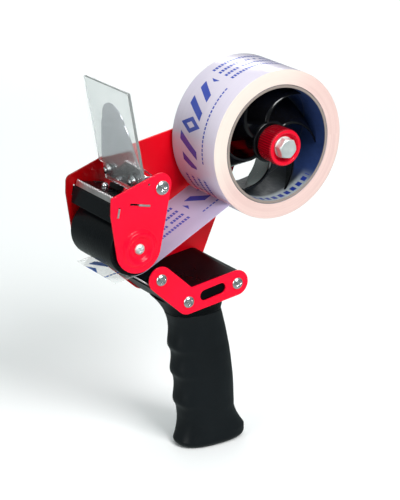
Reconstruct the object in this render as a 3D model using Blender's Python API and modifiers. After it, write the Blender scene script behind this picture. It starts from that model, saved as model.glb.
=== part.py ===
"""Pistol-grip packing tape dispenser for 50 mm tape on a 76 mm core, holding a part-used roll.

Frame: +X forward, +Y to the operator's left, +Z up, origin at the middle of the grip's flat base.
Sizes are in millimetres and become metres where a mesh is made. Most shapes are drawn in the XZ plane,
the side view, as points (x, z), and run along Y.
"""

import math

import bmesh
import bpy
from mathutils import Matrix, Vector

MM = 0.001

# Tape and its core
TAPE_WIDTH = 50.0
CORE_BORE_RADIUS = 38.0
CORE_WALL = 1.8
ROLL_RADIUS = 50.1
TAPE_THICKNESS = 0.25
TAPE_PEEL_ANGLE = math.radians(-43.0)
TAPE_TAIL_LENGTH = 17.8
TAPE_TAIL_DROP = math.radians(7.6)

# Sheet, clearances and fasteners
SHEET = 1.5
THIN_SHEET = 1.2
SIDE_CLEARANCE = 2.5
GAP = 0.3
SMALL_AXLE_RADIUS = 2.5
ROLLER_AXLE_RADIUS = 3.0
SMALL_SCREW_RADIUS = 1.6
RIVET_HEAD_RADIUS = 4.1
ROLLER_AXLE_HEAD_RADIUS = 4.0
FLAP_AXLE_HEAD_RADIUS = 4.9
HEAD_HEIGHT = 2.2

# Grip and its head
GRIP_LENGTH = 98.0
GRIP_HALF_WIDTH = 14.5
GRIP_WALL = 4.5
GRIP_FLOOR = 14.0
BASE_ROUND = 4.0
RIDGE_HEIGHT = 2.1
RIDGE_DEPTHS = (24.2, 43.6, 65.4)
ARM_RADIUS = 8.7
HEAD_INSET = 0.9
NECK_HEIGHT = 15.5
REAR_ARM = Vector((-38.0, 5.1))
FRONT_ARM = Vector((20.7, 19.3))
ARM_SLOT_RADIUS = 3.7
HEAD_NOSE = 3.3
HEAD_GROOVE_DEPTH = 8.0

# Roller
ROLLER_RADIUS = 19.0
ROLLER_ARM_GAP = 1.5
ROLLER_DIRECTION = math.radians(56.3)
RUBBER_WALL = 5.7
BEAD_HEIGHT = 1.8
BEAD_RADII = (6.2, 9.2, 10.6, 13.0)

# Blade carrier, blades and stop
CARRIER_TOP_LENGTH = 21.5
CARRIER_FRONT_LENGTH = 14.8
CARRIER_TOP_SLOPE = math.radians(13.2)
CARRIER_FRONT_LEAN = math.radians(11.5)
FRONT_STEP = 2.0
FRONT_STEP_DEPTH = 3.7
TOP_TAB = (12.6, 21.0)
TOP_SLOT = (6.0, 21.3)
FRONT_TAB = (3.9, 9.7)
FRONT_SLOT = (3.0, 10.0)
BLADE_THICKNESS = 0.8
BLADE_SHOWN = 3.2
BLADE_GROOVE = (6.5, 6.5 + BLADE_THICKNESS + 2 * GAP)
TOOTH_PITCH = 2.0
TOOTH_HEIGHT = 1.3
CARRIER_SCREW_INSET = 11.5
CARRIER_SCREW_SETBACK = 14.3
STOP_WIDTH = 10.0
STOP_OFFSET = 8.0
STOP_SETBACK = (15.4, 20.6)
STOP_HEIGHT = 3.4

# Flap
FLAP_LEAN = math.radians(10.2)
FLAP_REACH = 67.0
FLAP_FOOT = -3.5
FLAP_OFFSET = 9.7
FLAP_PLATE_THICKNESS = 2.0
TONGUE_THICKNESS = 0.8
TONGUE_REACH = 54.0
EAR_INSET = 7.5
TONGUE_INSET = 3.1
EAR_RADIUS = 5.2
FLAP_SCREW_INSET = 12.5
FLAP_NOTCH = 5.5
FLAP_SCREW_RISE = 5.0
FLAP_SPRING_LENGTH = 1.8
FLAP_SPRING_RADII = (4.2, 2.6)
SPRING_WIRE_RADIUS = 0.45
RETURN_SPRING_INSETS = (6.1, 1.3)
RETURN_SPRING_RADIUS = 4.2
RETURN_WIRE_RADIUS = 0.5
ANCHOR = Vector((9.5, 3.7))

# Spool and brake
SPINDLE_RADIUS = 3.9
BARREL_RADIUS = 14.0
BARREL_POCKET_RADIUS = 10.5
BARREL_POCKET_DEPTH = 8.2
VANE_COUNT = 6
VANE_THICKNESS = 2.2
VANE_TIP_CLEARANCE = 0.4
VANE_SWEEP = math.radians(46.0)
VANE_TWIST = math.radians(60.0)
VANE_PHASE = math.radians(24.0)
VANE_RECESS = 9.0
BARREL_LIP = 1.2
THRUST_WASHER_THICKNESS = 1.2
KNOB_RADIUS = 12.5
KNOB_STANDOFF = 1.6
KNOB_LENGTH = 15.2
KNOB_DISH_DEPTH = 3.9
KNOB_WASHER_RADIUS = 7.1
KNOB_WASHER_THICKNESS = 1.2
BOLT_HEAD_FLATS = 12.0
BOLT_HEAD_HEIGHT = 5.0

# Round pieces are drawn with these numbers of sides
FINE_SIDES = 56
ROUND_SIDES = 32
WIRE_SIDES_RESOLUTION = 2

# Widths that follow from the tape
INNER_Y = TAPE_WIDTH / 2 + SIDE_CLEARANCE
OUTER_Y = INNER_Y + SHEET
ROLLER_HALF = INNER_Y - 2.2
EAR_Y = INNER_Y - EAR_INSET
TONGUE_HALF = INNER_Y - TONGUE_INSET
FLAP_SCREW_Y = INNER_Y - FLAP_SCREW_INSET
CARRIER_SCREW_Y = INNER_Y - CARRIER_SCREW_INSET
RETURN_SPRING_Y = tuple(INNER_Y - inset for inset in RETURN_SPRING_INSETS)
VANE_FRONT = TAPE_WIDTH / 2 - VANE_RECESS
BARREL_FRONT = VANE_FRONT + BARREL_LIP
BARREL_POCKET_FLOOR = BARREL_FRONT - BARREL_POCKET_DEPTH
KNOB_REAR = BARREL_FRONT + KNOB_STANDOFF
KNOB_FRONT = KNOB_REAR + KNOB_LENGTH

# Side-view places of the axes
LOWER_RIVET = Vector((34.4, GRIP_LENGTH + 18.4))
REAR_RIVET = LOWER_RIVET + REAR_ARM
FRONT_RIVET = LOWER_RIVET + FRONT_ARM
ROLLER_AXIS = FRONT_RIVET + (ARM_RADIUS + ROLLER_ARM_GAP + ROLLER_RADIUS) * Vector(
    (math.cos(ROLLER_DIRECTION), math.sin(ROLLER_DIRECTION))
)
FLAP_AXIS = ROLLER_AXIS + Vector((-17.3, ROLLER_RADIUS + 18.6))
SPINDLE = LOWER_RIVET + Vector((-72.4, 93.1))
CARRIER_CORNER = ROLLER_AXIS + Vector((ROLLER_RADIUS - 7.1, ROLLER_RADIUS + 13.5))
PLATE_CORNER = Vector((ROLLER_AXIS.x + ROLLER_RADIUS + 0.9, CARRIER_CORNER.y + 4.7))

# Directions in the side view
CARRIER_BACK = Vector((-math.cos(CARRIER_TOP_SLOPE), -math.sin(CARRIER_TOP_SLOPE)))
CARRIER_UP = Vector((-math.sin(CARRIER_TOP_SLOPE), math.cos(CARRIER_TOP_SLOPE)))
CARRIER_DOWN = Vector((math.sin(CARRIER_FRONT_LEAN), -math.cos(CARRIER_FRONT_LEAN)))
CARRIER_AHEAD = Vector((math.cos(CARRIER_FRONT_LEAN), math.sin(CARRIER_FRONT_LEAN)))
FLAP_UP = Vector((math.sin(FLAP_LEAN), math.cos(FLAP_LEAN)))
FLAP_AHEAD = Vector((math.cos(FLAP_LEAN), -math.sin(FLAP_LEAN)))
ARM_AHEAD = FRONT_ARM.normalized()
ARM_DOWN = Vector((ARM_AHEAD.y, -ARM_AHEAD.x))

RED = (0.80, 0.008, 0.035)
DARK_RED = (0.62, 0.006, 0.02)
BLACK = (0.012, 0.013, 0.015)
STEEL = (0.72, 0.72, 0.74)
ZINC = (0.60, 0.61, 0.62)


# Scene and material helpers


def clear_scene():
    for obj in list(bpy.data.objects):
        bpy.data.objects.remove(obj)


def new_collection(name):
    collection = bpy.data.collections.new(name)
    bpy.context.scene.collection.children.link(collection)
    return collection


def material(name, color, roughness, metallic=0.0, alpha=1.0):
    made = bpy.data.materials.new(name)
    made.use_nodes = True
    shader = made.node_tree.nodes["Principled BSDF"]
    shader.inputs["Base Color"].default_value = (*color, 1.0)
    shader.inputs["Roughness"].default_value = roughness
    shader.inputs["Metallic"].default_value = metallic
    shader.inputs["Alpha"].default_value = alpha
    return made


def link(obj, collection, finish=None):
    collection.objects.link(obj)
    if finish is not None:
        obj.data.materials.clear()
        obj.data.materials.append(finish)
    return obj


def smooth(obj, degrees=35.0):
    obj.data.shade_smooth()
    obj.data.set_sharp_from_angle(angle=math.radians(degrees))
    return obj


# Points in the side view


def polar(centre, radius, angle):
    return centre + radius * Vector((math.cos(angle), math.sin(angle)))


def circle(centre, radius, sides=ROUND_SIDES):
    return [polar(centre, radius, 2 * math.pi * i / sides) for i in range(sides)]


def arc(centre, radius, start, end, steps):
    return [polar(centre, radius, start + (end - start) * i / steps) for i in range(steps + 1)]


def hull(points):
    """The convex outline round the points, anticlockwise."""
    ordered = sorted({(round(p.x, 6), round(p.y, 6)) for p in points})

    def chain(run):
        out = []
        for p in run:
            while len(out) > 1:
                a, b = out[-2], out[-1]
                if (b[0] - a[0]) * (p[1] - a[1]) - (b[1] - a[1]) * (p[0] - a[0]) > 1e-9:
                    break
                out.pop()
            out.append(p)
        return out[:-1]

    return [Vector(p) for p in chain(ordered) + chain(reversed(ordered))]


def hull_of_circles(circles, sides=40):
    return hull([p for centre, radius in circles for p in circle(centre, radius, sides)])


def obround(start, end, radius):
    along = math.atan2(end.y - start.y, end.x - start.x)
    quarter = math.pi / 2
    return arc(end, radius, along - quarter, along + quarter, 8) + arc(
        start, radius, along + quarter, along + 3 * quarter, 8
    )


def slot(corner, along, across, span, half_width):
    """A four-cornered slot or strip from span[0] to span[1] along a direction."""
    low, high = span
    return [
        corner + low * along - half_width * across,
        corner + high * along - half_width * across,
        corner + high * along + half_width * across,
        corner + low * along + half_width * across,
    ]


def bent_arm(radius):
    """The outline of the two arms that meet at the lower rivet, with round ends and one inner corner."""
    front = math.atan2(FRONT_ARM.y, FRONT_ARM.x)
    rear = math.atan2(REAR_ARM.y, REAR_ARM.x)
    quarter = math.pi / 2
    front_normal = Vector((math.cos(front + quarter), math.sin(front + quarter)))
    rear_normal = Vector((math.cos(rear - quarter), math.sin(rear - quarter)))
    inner = LOWER_RIVET + (front_normal + rear_normal) * radius / (1 + front_normal.dot(rear_normal))
    return (
        arc(FRONT_RIVET, radius, front - quarter, front + quarter, 12)
        + [inner]
        + arc(REAR_RIVET, radius, rear - quarter, rear + quarter, 12)
        + arc(LOWER_RIVET, radius, rear + quarter, front + 3 * quarter, 8)
    )


# Solids


def sheet_mesh(loops, thickness, matrix):
    """A flat outline with holes, drawn as a 2D curve and thickened both ways, as a welded mesh."""
    curve = bpy.data.curves.new("outline", "CURVE")
    curve.dimensions = "2D"
    curve.fill_mode = "BOTH"
    curve.extrude = thickness / 2 * MM
    for loop in loops:
        spline = curve.splines.new("POLY")
        spline.points.add(len(loop) - 1)
        for point, place in zip(spline.points, loop):
            point.co = (place[0] * MM, place[1] * MM, 0.0, 1.0)
        spline.use_cyclic_u = True
    holder = bpy.data.objects.new("outline", curve)
    bpy.context.scene.collection.objects.link(holder)
    bpy.context.view_layer.update()
    mesh = bpy.data.meshes.new_from_object(holder.evaluated_get(bpy.context.evaluated_depsgraph_get()))
    bpy.data.objects.remove(holder)
    bpy.data.curves.remove(curve)
    mesh.transform(matrix)
    return weld(mesh)


def weld(mesh):
    welder = bmesh.new()
    welder.from_mesh(mesh)
    bmesh.ops.remove_doubles(welder, verts=welder.verts, dist=1e-6)
    bmesh.ops.recalc_face_normals(welder, faces=welder.faces)
    welder.to_mesh(mesh)
    welder.free()
    return mesh


def side_matrix(y):
    """Takes a drawing's x and y to X and Z, at one place along Y."""
    return Matrix.Translation((0, y * MM, 0)) @ Matrix.Rotation(math.pi / 2, 4, "X")


def face_matrix(origin, up, ahead, offset):
    """Takes a drawing's x and y to Y and a side-view direction, offset ahead of the origin."""
    at = origin + ahead * offset
    columns = ((0, 1, 0), (up.x, 0, up.y), (ahead.x, 0, ahead.y), (at.x * MM, 0, at.y * MM))
    matrix = Matrix([[column[row] for column in columns] for row in range(3)])
    matrix.resize_4x4()
    for row in range(3):
        matrix[row][3] = columns[3][row]
    return matrix


def plate(name, loops, y_low, y_high, collection, finish):
    mesh = sheet_mesh(loops, y_high - y_low, side_matrix((y_low + y_high) / 2))
    return link(bpy.data.objects.new(name, mesh), collection, finish)


def flat_part(name, loops, thickness, matrix, collection, finish):
    mesh = sheet_mesh(loops, thickness, matrix)
    return link(bpy.data.objects.new(name, mesh), collection, finish)


def turned(name, profile, centre, collection, finish, sides=ROUND_SIDES, closed=False, axis_matrix=None):
    """A profile of (radius, height) points, from top to bottom, turned about an axis along +Y."""
    mesh = bpy.data.meshes.new(name)
    verts = [(radius * MM, 0.0, height * MM) for radius, height in profile]
    edges = [(i, i + 1) for i in range(len(verts) - 1)]
    if closed:
        edges.append((len(verts) - 1, 0))
    mesh.from_pydata(verts, edges, [])
    obj = bpy.data.objects.new(name, mesh)
    place = Matrix.Translation((centre.x * MM, 0, centre.y * MM)) @ Matrix.Rotation(-math.pi / 2, 4, "X")
    obj.matrix_world = place if axis_matrix is None else axis_matrix
    screw = obj.modifiers.new("turn", "SCREW")
    screw.steps = sides
    screw.render_steps = sides
    screw.use_merge_vertices = True
    screw.merge_threshold = 0.00001
    link(obj, collection, finish)
    return obj


def tube(name, inner, outer, y_low, y_high, centre, collection, finish, sides=ROUND_SIDES, chamfer=0.0):
    profile = [
        (inner, y_high),
        (outer - chamfer, y_high),
        (outer, y_high - chamfer),
        (outer, y_low + chamfer),
        (outer - chamfer, y_low),
        (inner, y_low),
    ]
    if chamfer == 0.0:
        profile = [profile[0], profile[1], profile[4], profile[5]]
    return turned(name, profile, centre, collection, finish, sides, closed=True)


def dome(radius, height, base, sign, steps=3):
    """Profile points of a domed head from its crown to its rim."""
    return [
        (radius * math.sin(i / steps * math.pi / 2), base + sign * height * math.cos(i / steps * math.pi / 2))
        for i in range(steps + 1)
    ]


def headed_pin(name, centre, shank_radius, head_radius, collection, finish):
    """A pin through both side plates, with a domed head on each side."""
    seat = OUTER_Y + GAP
    near = dome(head_radius, HEAD_HEIGHT, seat, 1)
    far = [(r, -y) for r, y in reversed(near)]
    profile = near + [(shank_radius, seat), (shank_radius, -seat)] + far
    return turned(name, profile, centre, collection, finish, sides=20)


def loft(name, rings, collection, finish):
    """A closed skin through rings of points with equal counts, capped at both ends."""
    mesh = bpy.data.meshes.new(name)
    skin = bmesh.new()
    made = [[skin.verts.new(Vector(p) * MM) for p in ring] for ring in rings]
    count = len(rings[0])
    for lower, upper in zip(made, made[1:]):
        for i in range(count):
            j = (i + 1) % count
            skin.faces.new((lower[i], lower[j], upper[j], upper[i]))
    skin.faces.new(made[0][::-1])
    skin.faces.new(made[-1])
    bmesh.ops.recalc_face_normals(skin, faces=skin.faces)
    skin.to_mesh(mesh)
    skin.free()
    return link(bpy.data.objects.new(name, mesh), collection, finish)


def combine(obj, other, operation, cutters):
    """Adds a Boolean with another object, which becomes a hidden helper."""
    for collection in list(other.users_collection):
        collection.objects.unlink(other)
    cutters.objects.link(other)
    other.hide_render = True
    other.display_type = "WIRE"
    step = obj.modifiers.new(operation.lower(), "BOOLEAN")
    step.operation = operation
    step.solver = "EXACT"
    step.object = other
    return obj


def wire(name, points, radius, collection, finish):
    """A round wire through points given in millimetres."""
    curve = bpy.data.curves.new(name, "CURVE")
    curve.dimensions = "3D"
    curve.bevel_depth = radius * MM
    curve.bevel_resolution = WIRE_SIDES_RESOLUTION
    curve.use_fill_caps = True
    spline = curve.splines.new("POLY")
    spline.points.add(len(points) - 1)
    for point, place in zip(spline.points, points):
        point.co = (place[0] * MM, place[1] * MM, place[2] * MM, 1.0)
    return link(bpy.data.objects.new(name, curve), collection, finish)


def coil(origin, axis, across, radii, length, turns, per_turn=10):
    """Points of a helix that starts at the origin and climbs along its axis, from one radius to another."""
    other = axis.cross(across)
    steps = round(turns * per_turn)
    points = []
    for i in range(steps + 1):
        angle = 2 * math.pi * turns * i / steps
        radius = radii[0] + (radii[1] - radii[0]) * i / steps
        points.append(
            origin
            + axis * length * i / steps
            + across * radius * math.cos(angle)
            + other * radius * math.sin(angle)
        )
    return points


# Side plates


def flap_boss():
    return FLAP_AXIS + Vector((1.2, 1.5)), 8.3


def plate_outline(corner_radius, extra=()):
    corner = PLATE_CORNER - Vector((corner_radius, corner_radius))
    below = PLATE_CORNER - Vector((corner_radius - 0.3, 11.7))
    return hull_of_circles(
        [
            flap_boss(),
            (corner, corner_radius),
            (below, corner_radius),
            (ROLLER_AXIS, ROLLER_RADIUS - 2.7),
            *extra,
        ]
    )


def plate_holes(top_slot):
    """Holes for the flap axle, the pressed bead round the roller axle, and the carrier's tabs."""
    half = THIN_SHEET / 2 + GAP
    top = CARRIER_CORNER - CARRIER_UP * THIN_SHEET / 2
    front = CARRIER_CORNER + CARRIER_AHEAD * (FRONT_STEP - THIN_SHEET / 2)
    return [
        circle(FLAP_AXIS, SMALL_AXLE_RADIUS + GAP, 20),
        circle(ROLLER_AXIS, BEAD_RADII[3], 36),
        slot(top, CARRIER_BACK, CARRIER_UP, top_slot, half),
        slot(front, CARRIER_DOWN, CARRIER_AHEAD, FRONT_SLOT, half),
    ]


def pressed_bead(name, side, collection):
    """A ring pressed outward round the roller axle, in the plate's own thickness."""
    hole = ROLLER_AXLE_RADIUS + GAP
    foot_in, top_in, top_out, foot_out = BEAD_RADII
    lap = 0.6
    skin = 0.1
    outer = [
        (hole, OUTER_Y - skin),
        (foot_in, OUTER_Y - skin),
        (top_in, OUTER_Y + BEAD_HEIGHT),
        (top_out, OUTER_Y + BEAD_HEIGHT),
        (foot_out, OUTER_Y - skin),
        (foot_out + lap, OUTER_Y - skin),
    ]
    inner = [(r, y - SHEET + 2 * skin) for r, y in reversed(outer)]
    profile = outer + inner
    if side < 0:
        profile = [(r, -y) for r, y in reversed(profile)]
    return turned(name, profile, ROLLER_AXIS, collection, None, sides=36, closed=True)


def side_plate(name, side, loops, collection, cutters, finish):
    low, high = sorted((side * INNER_Y, side * OUTER_Y))
    obj = plate(name, loops, low, high, collection, finish)
    return combine(obj, pressed_bead(f"{name}_bead", side, cutters), "UNION", cutters)


def rivet_holes():
    return [circle(place, SMALL_AXLE_RADIUS + GAP, 20) for place in (LOWER_RIVET, REAR_RIVET, FRONT_RIVET)]


def build_plates(parts, cutters):
    bright = material("red_paint", RED, 0.35)
    shaded = material("red_paint_main", DARK_RED, 0.35)
    anchor = circle(FLAP_AXIS + ANCHOR, RETURN_WIRE_RADIUS + GAP, 12)
    spindle_hole = circle(SPINDLE, SPINDLE_RADIUS + GAP, 24)
    main = plate_outline(
        4.5, [(SPINDLE, 13.0), (LOWER_RIVET, ARM_RADIUS), (REAR_RIVET, ARM_RADIUS), (FRONT_RIVET, ARM_RADIUS)]
    )
    holes = plate_holes((TOP_TAB[0] - GAP, TOP_TAB[1] + GAP))
    side_plate("main_side_plate", -1, [main, *holes, *rivet_holes(), spindle_hole], parts, cutters, shaded)
    holes = plate_holes(TOP_SLOT)
    side_plate("front_side_plate", 1, [plate_outline(2.0), *holes, anchor], parts, cutters, bright)
    window = obround(
        LOWER_RIVET + REAR_ARM * 0.34 + Vector((0, 0.1)),
        LOWER_RIVET + REAR_ARM * 0.67 + Vector((0, 0.5)),
        ARM_SLOT_RADIUS,
    )
    plate("handle_side_plate", [bent_arm(ARM_RADIUS), *rivet_holes(), window], INNER_Y, OUTER_Y, parts, bright)


# Grip


def grip_front(z):
    """The front edge of the grip's side view, with finger ridges that are steeper below than above."""
    taper = 22.3 + 0.1 * (z - 20.0) if z > 20.0 else 22.3 + 1.8 * ((20.0 - z) / 12.0) ** 2
    for depth in RIDGE_DEPTHS:
        rise = z - (GRIP_LENGTH - depth)
        reach = 7.0 if rise > 0 else 3.6
        taper += RIDGE_HEIGHT * math.exp(-((rise / reach) ** 2))
    return taper + 0.055 * max(0.0, z - GRIP_LENGTH + 9.0) ** 1.6


def grip_rear(z):
    """The rear edge: it leans forward towards the top and flares back into a heel at the base."""
    heel = 25.0
    heel_height = 17.0
    if z > GRIP_LENGTH:
        return -6.4 - 0.24 * (z - GRIP_LENGTH)
    if z > heel:
        return -17.9 + 11.5 * ((z - heel) / (GRIP_LENGTH - heel)) ** 2
    return -17.9 - 8.6 * (min(heel - z, heel_height) / heel_height) ** 1.5


def grip_half_width(z):
    flare = 1.2 * max(0.0, (16.0 - z) / 16.0)
    neck = 1.0 * max(0.0, (z - GRIP_LENGTH + 12.0) / 12.0) ** 2
    return GRIP_HALF_WIDTH + flare + neck


def section(z, inset=0.0, sides=28, power=2.5, widen=0.0, tilt=0.0):
    """One rounded cross-section of the grip at height z, drawn inwards by the inset."""
    front, rear = grip_front(z) - inset, grip_rear(z) + inset
    middle, half = (front + rear) / 2, (front - rear) / 2
    width = grip_half_width(z) - inset + widen
    ring = []
    for i in range(sides):
        angle = 2 * math.pi * i / sides
        c, s = math.cos(angle), math.sin(angle)
        x = middle + half * math.copysign(abs(c) ** (2 / power), c)
        y = width * math.copysign(abs(s) ** (2 / power), s)
        ring.append((x, y, z + tilt * (x - middle)))
    return ring


def base_sections():
    """Rings that round the edge of the base, from the flat face up."""
    rings = []
    for i in range(4):
        angle = math.pi / 2 * i / 3
        z = BASE_ROUND * (1 - math.cos(angle))
        inset = BASE_ROUND * (1 - math.sin(angle))
        ring = section(BASE_ROUND, inset)
        rings.append([(x, y, z) for x, y, _ in ring])
    return rings


def build_grip(parts, cutters):
    seam = GRIP_LENGTH
    rows = 24
    heights = [BASE_ROUND + (seam - BASE_ROUND) * i / rows for i in range(1, rows + 1)]
    bore = [section(z, GRIP_WALL) for z in (seam, (seam + GRIP_FLOOR) / 2, GRIP_FLOOR)]
    rings = base_sections() + [section(z) for z in heights] + bore
    matt = material("grip_black", BLACK, 0.6)
    gloss = material("head_black", BLACK, 0.25)
    smooth(loft("grip_sleeve", rings, parts, matt), 60.0)

    core = plate(
        "grip_core",
        [head_outline(), *rivet_holes()],
        -(INNER_Y - GAP),
        INNER_Y - GAP,
        parts,
        gloss,
    )
    tilt = -REAR_ARM.y / -REAR_ARM.x
    tang = [section(z, GRIP_WALL + GAP) for z in (GRIP_FLOOR + GAP, (seam + GRIP_FLOOR) / 2, seam + GAP)]
    shares = (0.0, 0.25, 0.5, 0.75, 1.0)
    neck = [section(seam + GAP + NECK_HEIGHT * t, widen=4.0 * t**2, tilt=tilt * t) for t in shares]
    combine(core, loft("grip_tang", tang + neck, cutters, None), "UNION", cutters)


def head_point(ahead, down):
    """A point of the front arm, along it from the front rivet and down from its middle line."""
    return FRONT_RIVET + ARM_AHEAD * ahead + ARM_DOWN * down


def head_outline():
    """The moulded head between the arms: a flat nose with a groove for the lower blade."""
    radius = ARM_RADIUS - HEAD_INSET
    quarter = math.pi / 2
    rear = math.atan2(REAR_ARM.y, REAR_ARM.x)
    front = math.atan2(FRONT_ARM.y, FRONT_ARM.x)
    front_normal = Vector((math.cos(front + quarter), math.sin(front + quarter)))
    rear_normal = Vector((math.cos(rear - quarter), math.sin(rear - quarter)))
    inner = LOWER_RIVET + (front_normal + rear_normal) * radius / (1 + front_normal.dot(rear_normal))
    face = ARM_RADIUS - GAP / 3
    return (
        [
            head_point(HEAD_NOSE, -radius),
            inner,
        ]
        + arc(REAR_RIVET, radius, rear - quarter, rear + quarter, 8)
        + arc(LOWER_RIVET, radius, rear + quarter, front + 3 * quarter, 6)
        + [
            head_point(-14.2, radius),
            head_point(-12.2, face),
            head_point(HEAD_NOSE, face),
            head_point(HEAD_NOSE, BLADE_GROOVE[1]),
            head_point(HEAD_NOSE - HEAD_GROOVE_DEPTH, BLADE_GROOVE[1]),
            head_point(HEAD_NOSE - HEAD_GROOVE_DEPTH, BLADE_GROOVE[0]),
            head_point(HEAD_NOSE, BLADE_GROOVE[0]),
        ]
    )


# Blade carrier and blades


def toothed_strip(half_width, low, high):
    """A strip whose top edge, at height high, is cut into teeth."""
    count = round(2 * half_width / TOOTH_PITCH)
    pitch = 2 * half_width / count
    points = [Vector((-half_width, low)), Vector((half_width, low))]
    for i in range(count):
        right = half_width - i * pitch
        points.append(Vector((right, high - TOOTH_HEIGHT)))
        points.append(Vector((right - pitch / 2, high)))
    points.append(Vector((-half_width, high - TOOTH_HEIGHT)))
    return points


def carrier_front(down, ahead):
    """A point of the carrier's front flange, down from the corner and ahead of the blade's seat."""
    return CARRIER_CORNER + CARRIER_DOWN * down + CARRIER_AHEAD * ahead


def build_carrier(parts, cutters):
    black = material("carrier_black", BLACK, 0.3)
    steel = material("blade_steel", STEEL, 0.25, 1.0)
    inside = CARRIER_CORNER - CARRIER_UP * THIN_SHEET
    inner_corner = CARRIER_CORNER + (CARRIER_BACK + CARRIER_DOWN) * THIN_SHEET * 1.1
    outline = [
        CARRIER_CORNER,
        CARRIER_CORNER + CARRIER_BACK * CARRIER_TOP_LENGTH,
        inside + CARRIER_BACK * CARRIER_TOP_LENGTH,
        inner_corner,
        carrier_front(FRONT_STEP_DEPTH + THIN_SHEET, -THIN_SHEET),
        carrier_front(FRONT_STEP_DEPTH + THIN_SHEET, FRONT_STEP - THIN_SHEET),
        carrier_front(CARRIER_FRONT_LENGTH, FRONT_STEP - THIN_SHEET),
        carrier_front(CARRIER_FRONT_LENGTH, FRONT_STEP),
        carrier_front(FRONT_STEP_DEPTH, FRONT_STEP),
        carrier_front(FRONT_STEP_DEPTH, 0.0),
    ]
    reach = INNER_Y - GAP
    screw_hole = SMALL_SCREW_RADIUS + GAP
    carrier = plate("blade_carrier", [outline], -reach, reach, parts, black)
    thin = THIN_SHEET / 2 - 0.1
    top = CARRIER_CORNER - CARRIER_UP * THIN_SHEET / 2
    front = carrier_front(0.0, FRONT_STEP - THIN_SHEET / 2)
    tab = OUTER_Y + 0.2
    top_tabs = plate("top_tabs", [slot(top, CARRIER_BACK, CARRIER_UP, TOP_TAB, thin)], -tab, tab, cutters, None)
    front_tabs = plate(
        "front_tabs", [slot(front, CARRIER_DOWN, CARRIER_AHEAD, FRONT_TAB, thin)], -tab, tab, cutters, None
    )
    combine(carrier, top_tabs, "UNION", cutters)
    combine(carrier, front_tabs, "UNION", cutters)
    seat = CARRIER_CORNER + CARRIER_BACK * CARRIER_SCREW_SETBACK
    for y in (-CARRIER_SCREW_Y, CARRIER_SCREW_Y):
        drill = turned(
            f"carrier_drill_{y:+.0f}",
            [(0, 5), (screw_hole, 5), (screw_hole, -5), (0, -5)],
            seat,
            cutters,
            None,
            16,
            axis_matrix=axis_at(seat, CARRIER_UP, y),
        )
        combine(carrier, drill, "DIFFERENCE", cutters)

    blade_offset = GAP + BLADE_THICKNESS / 2
    blade = toothed_strip(INNER_Y - 1.0, -BLADE_SHOWN, TOOTH_HEIGHT)
    upward = -CARRIER_DOWN
    matrix = face_matrix(CARRIER_CORNER, upward, CARRIER_AHEAD, blade_offset)
    flat_part("upper_blade", [blade], BLADE_THICKNESS, matrix, parts, steel)

    lower_middle = (BLADE_GROOVE[0] + BLADE_GROOVE[1]) / 2
    low = HEAD_NOSE - HEAD_GROOVE_DEPTH + GAP
    blade = toothed_strip(INNER_Y - 1.0, low, HEAD_NOSE + TOOTH_HEIGHT)
    matrix = face_matrix(FRONT_RIVET, ARM_AHEAD, ARM_DOWN, lower_middle)
    flat_part("lower_blade", [blade], BLADE_THICKNESS, matrix, parts, steel)


def axis_at(place, direction, y):
    """Takes the Z axis of a turned piece to a side-view direction, through a place at y."""
    up = Vector((direction.x, 0, direction.y))
    side = Vector((0, 1, 0))
    third = side.cross(up)
    rows = [[side[row], -third[row], up[row], (place.x, y, place.y)[row] * MM] for row in range(3)]
    return Matrix(rows + [[0, 0, 0, 1]])


def screw_with_nut(head_radius, head_height, top, bottom, nut_height, nut_radius):
    """Profile of a domed screw from its crown down to the end of the nut on its shank."""
    crown = dome(head_radius, head_height, top, 1)
    return crown + [
        (SMALL_SCREW_RADIUS, top),
        (SMALL_SCREW_RADIUS, bottom),
        (nut_radius, bottom),
        (nut_radius, bottom - nut_height),
        (SMALL_SCREW_RADIUS, bottom - nut_height),
        (SMALL_SCREW_RADIUS, bottom - nut_height - 0.8),
        (0, bottom - nut_height - 0.8),
    ]


def build_carrier_fittings(parts):
    chrome = material("chrome", STEEL, 0.1, 1.0)
    rubber = material("stop_rubber", BLACK, 0.8)
    seat = CARRIER_CORNER + CARRIER_BACK * CARRIER_SCREW_SETBACK
    profile = screw_with_nut(2.6, 2.4, GAP, -THIN_SHEET - GAP, 2.0, 2.8)
    for name, y in (("right", -CARRIER_SCREW_Y), ("left", CARRIER_SCREW_Y)):
        matrix = axis_at(seat, CARRIER_UP, y)
        turned(f"carrier_screw_{name}", profile, seat, parts, chrome, 12, axis_matrix=matrix)
    middle = GAP + STOP_HEIGHT / 2
    block = slot(CARRIER_CORNER + CARRIER_UP * middle, CARRIER_BACK, CARRIER_UP, STOP_SETBACK, STOP_HEIGHT / 2)
    low = -STOP_OFFSET - STOP_WIDTH / 2
    plate("flap_stop_block", [block], low, low + STOP_WIDTH, parts, rubber)


# Flap


def tongue_outline():
    """A round-topped tongue that widens downward, and narrows again where its ears turn back."""
    wide = TONGUE_HALF
    top_radius = wide - 10.9
    crown = arc(Vector((0, TONGUE_REACH - top_radius)), top_radius, math.radians(10), math.radians(170), 14)
    steps = ((7.4, 36.0), (4.9, 27.0), (1.9, 18.0), (0.0, 11.0))
    flank = [Vector((wide - inset, rise)) for inset, rise in steps]
    foot = [Vector((wide, 8.6)), Vector((EAR_Y, 8.0)), Vector((EAR_Y, -1.5))]
    right = (flank + foot)[::-1]
    left = [Vector((-p.x, p.y)) for p in flank + foot]
    return right + crown + left


def ear_outline():
    """An ear from the tongue back to the axle."""
    reach = FLAP_OFFSET - GAP - TONGUE_THICKNESS / 2
    root = [FLAP_AXIS + FLAP_AHEAD * reach + FLAP_UP * u for u in (-1.1, 7.6)]
    return hull(circle(FLAP_AXIS, EAR_RADIUS, 24) + root)


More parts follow.
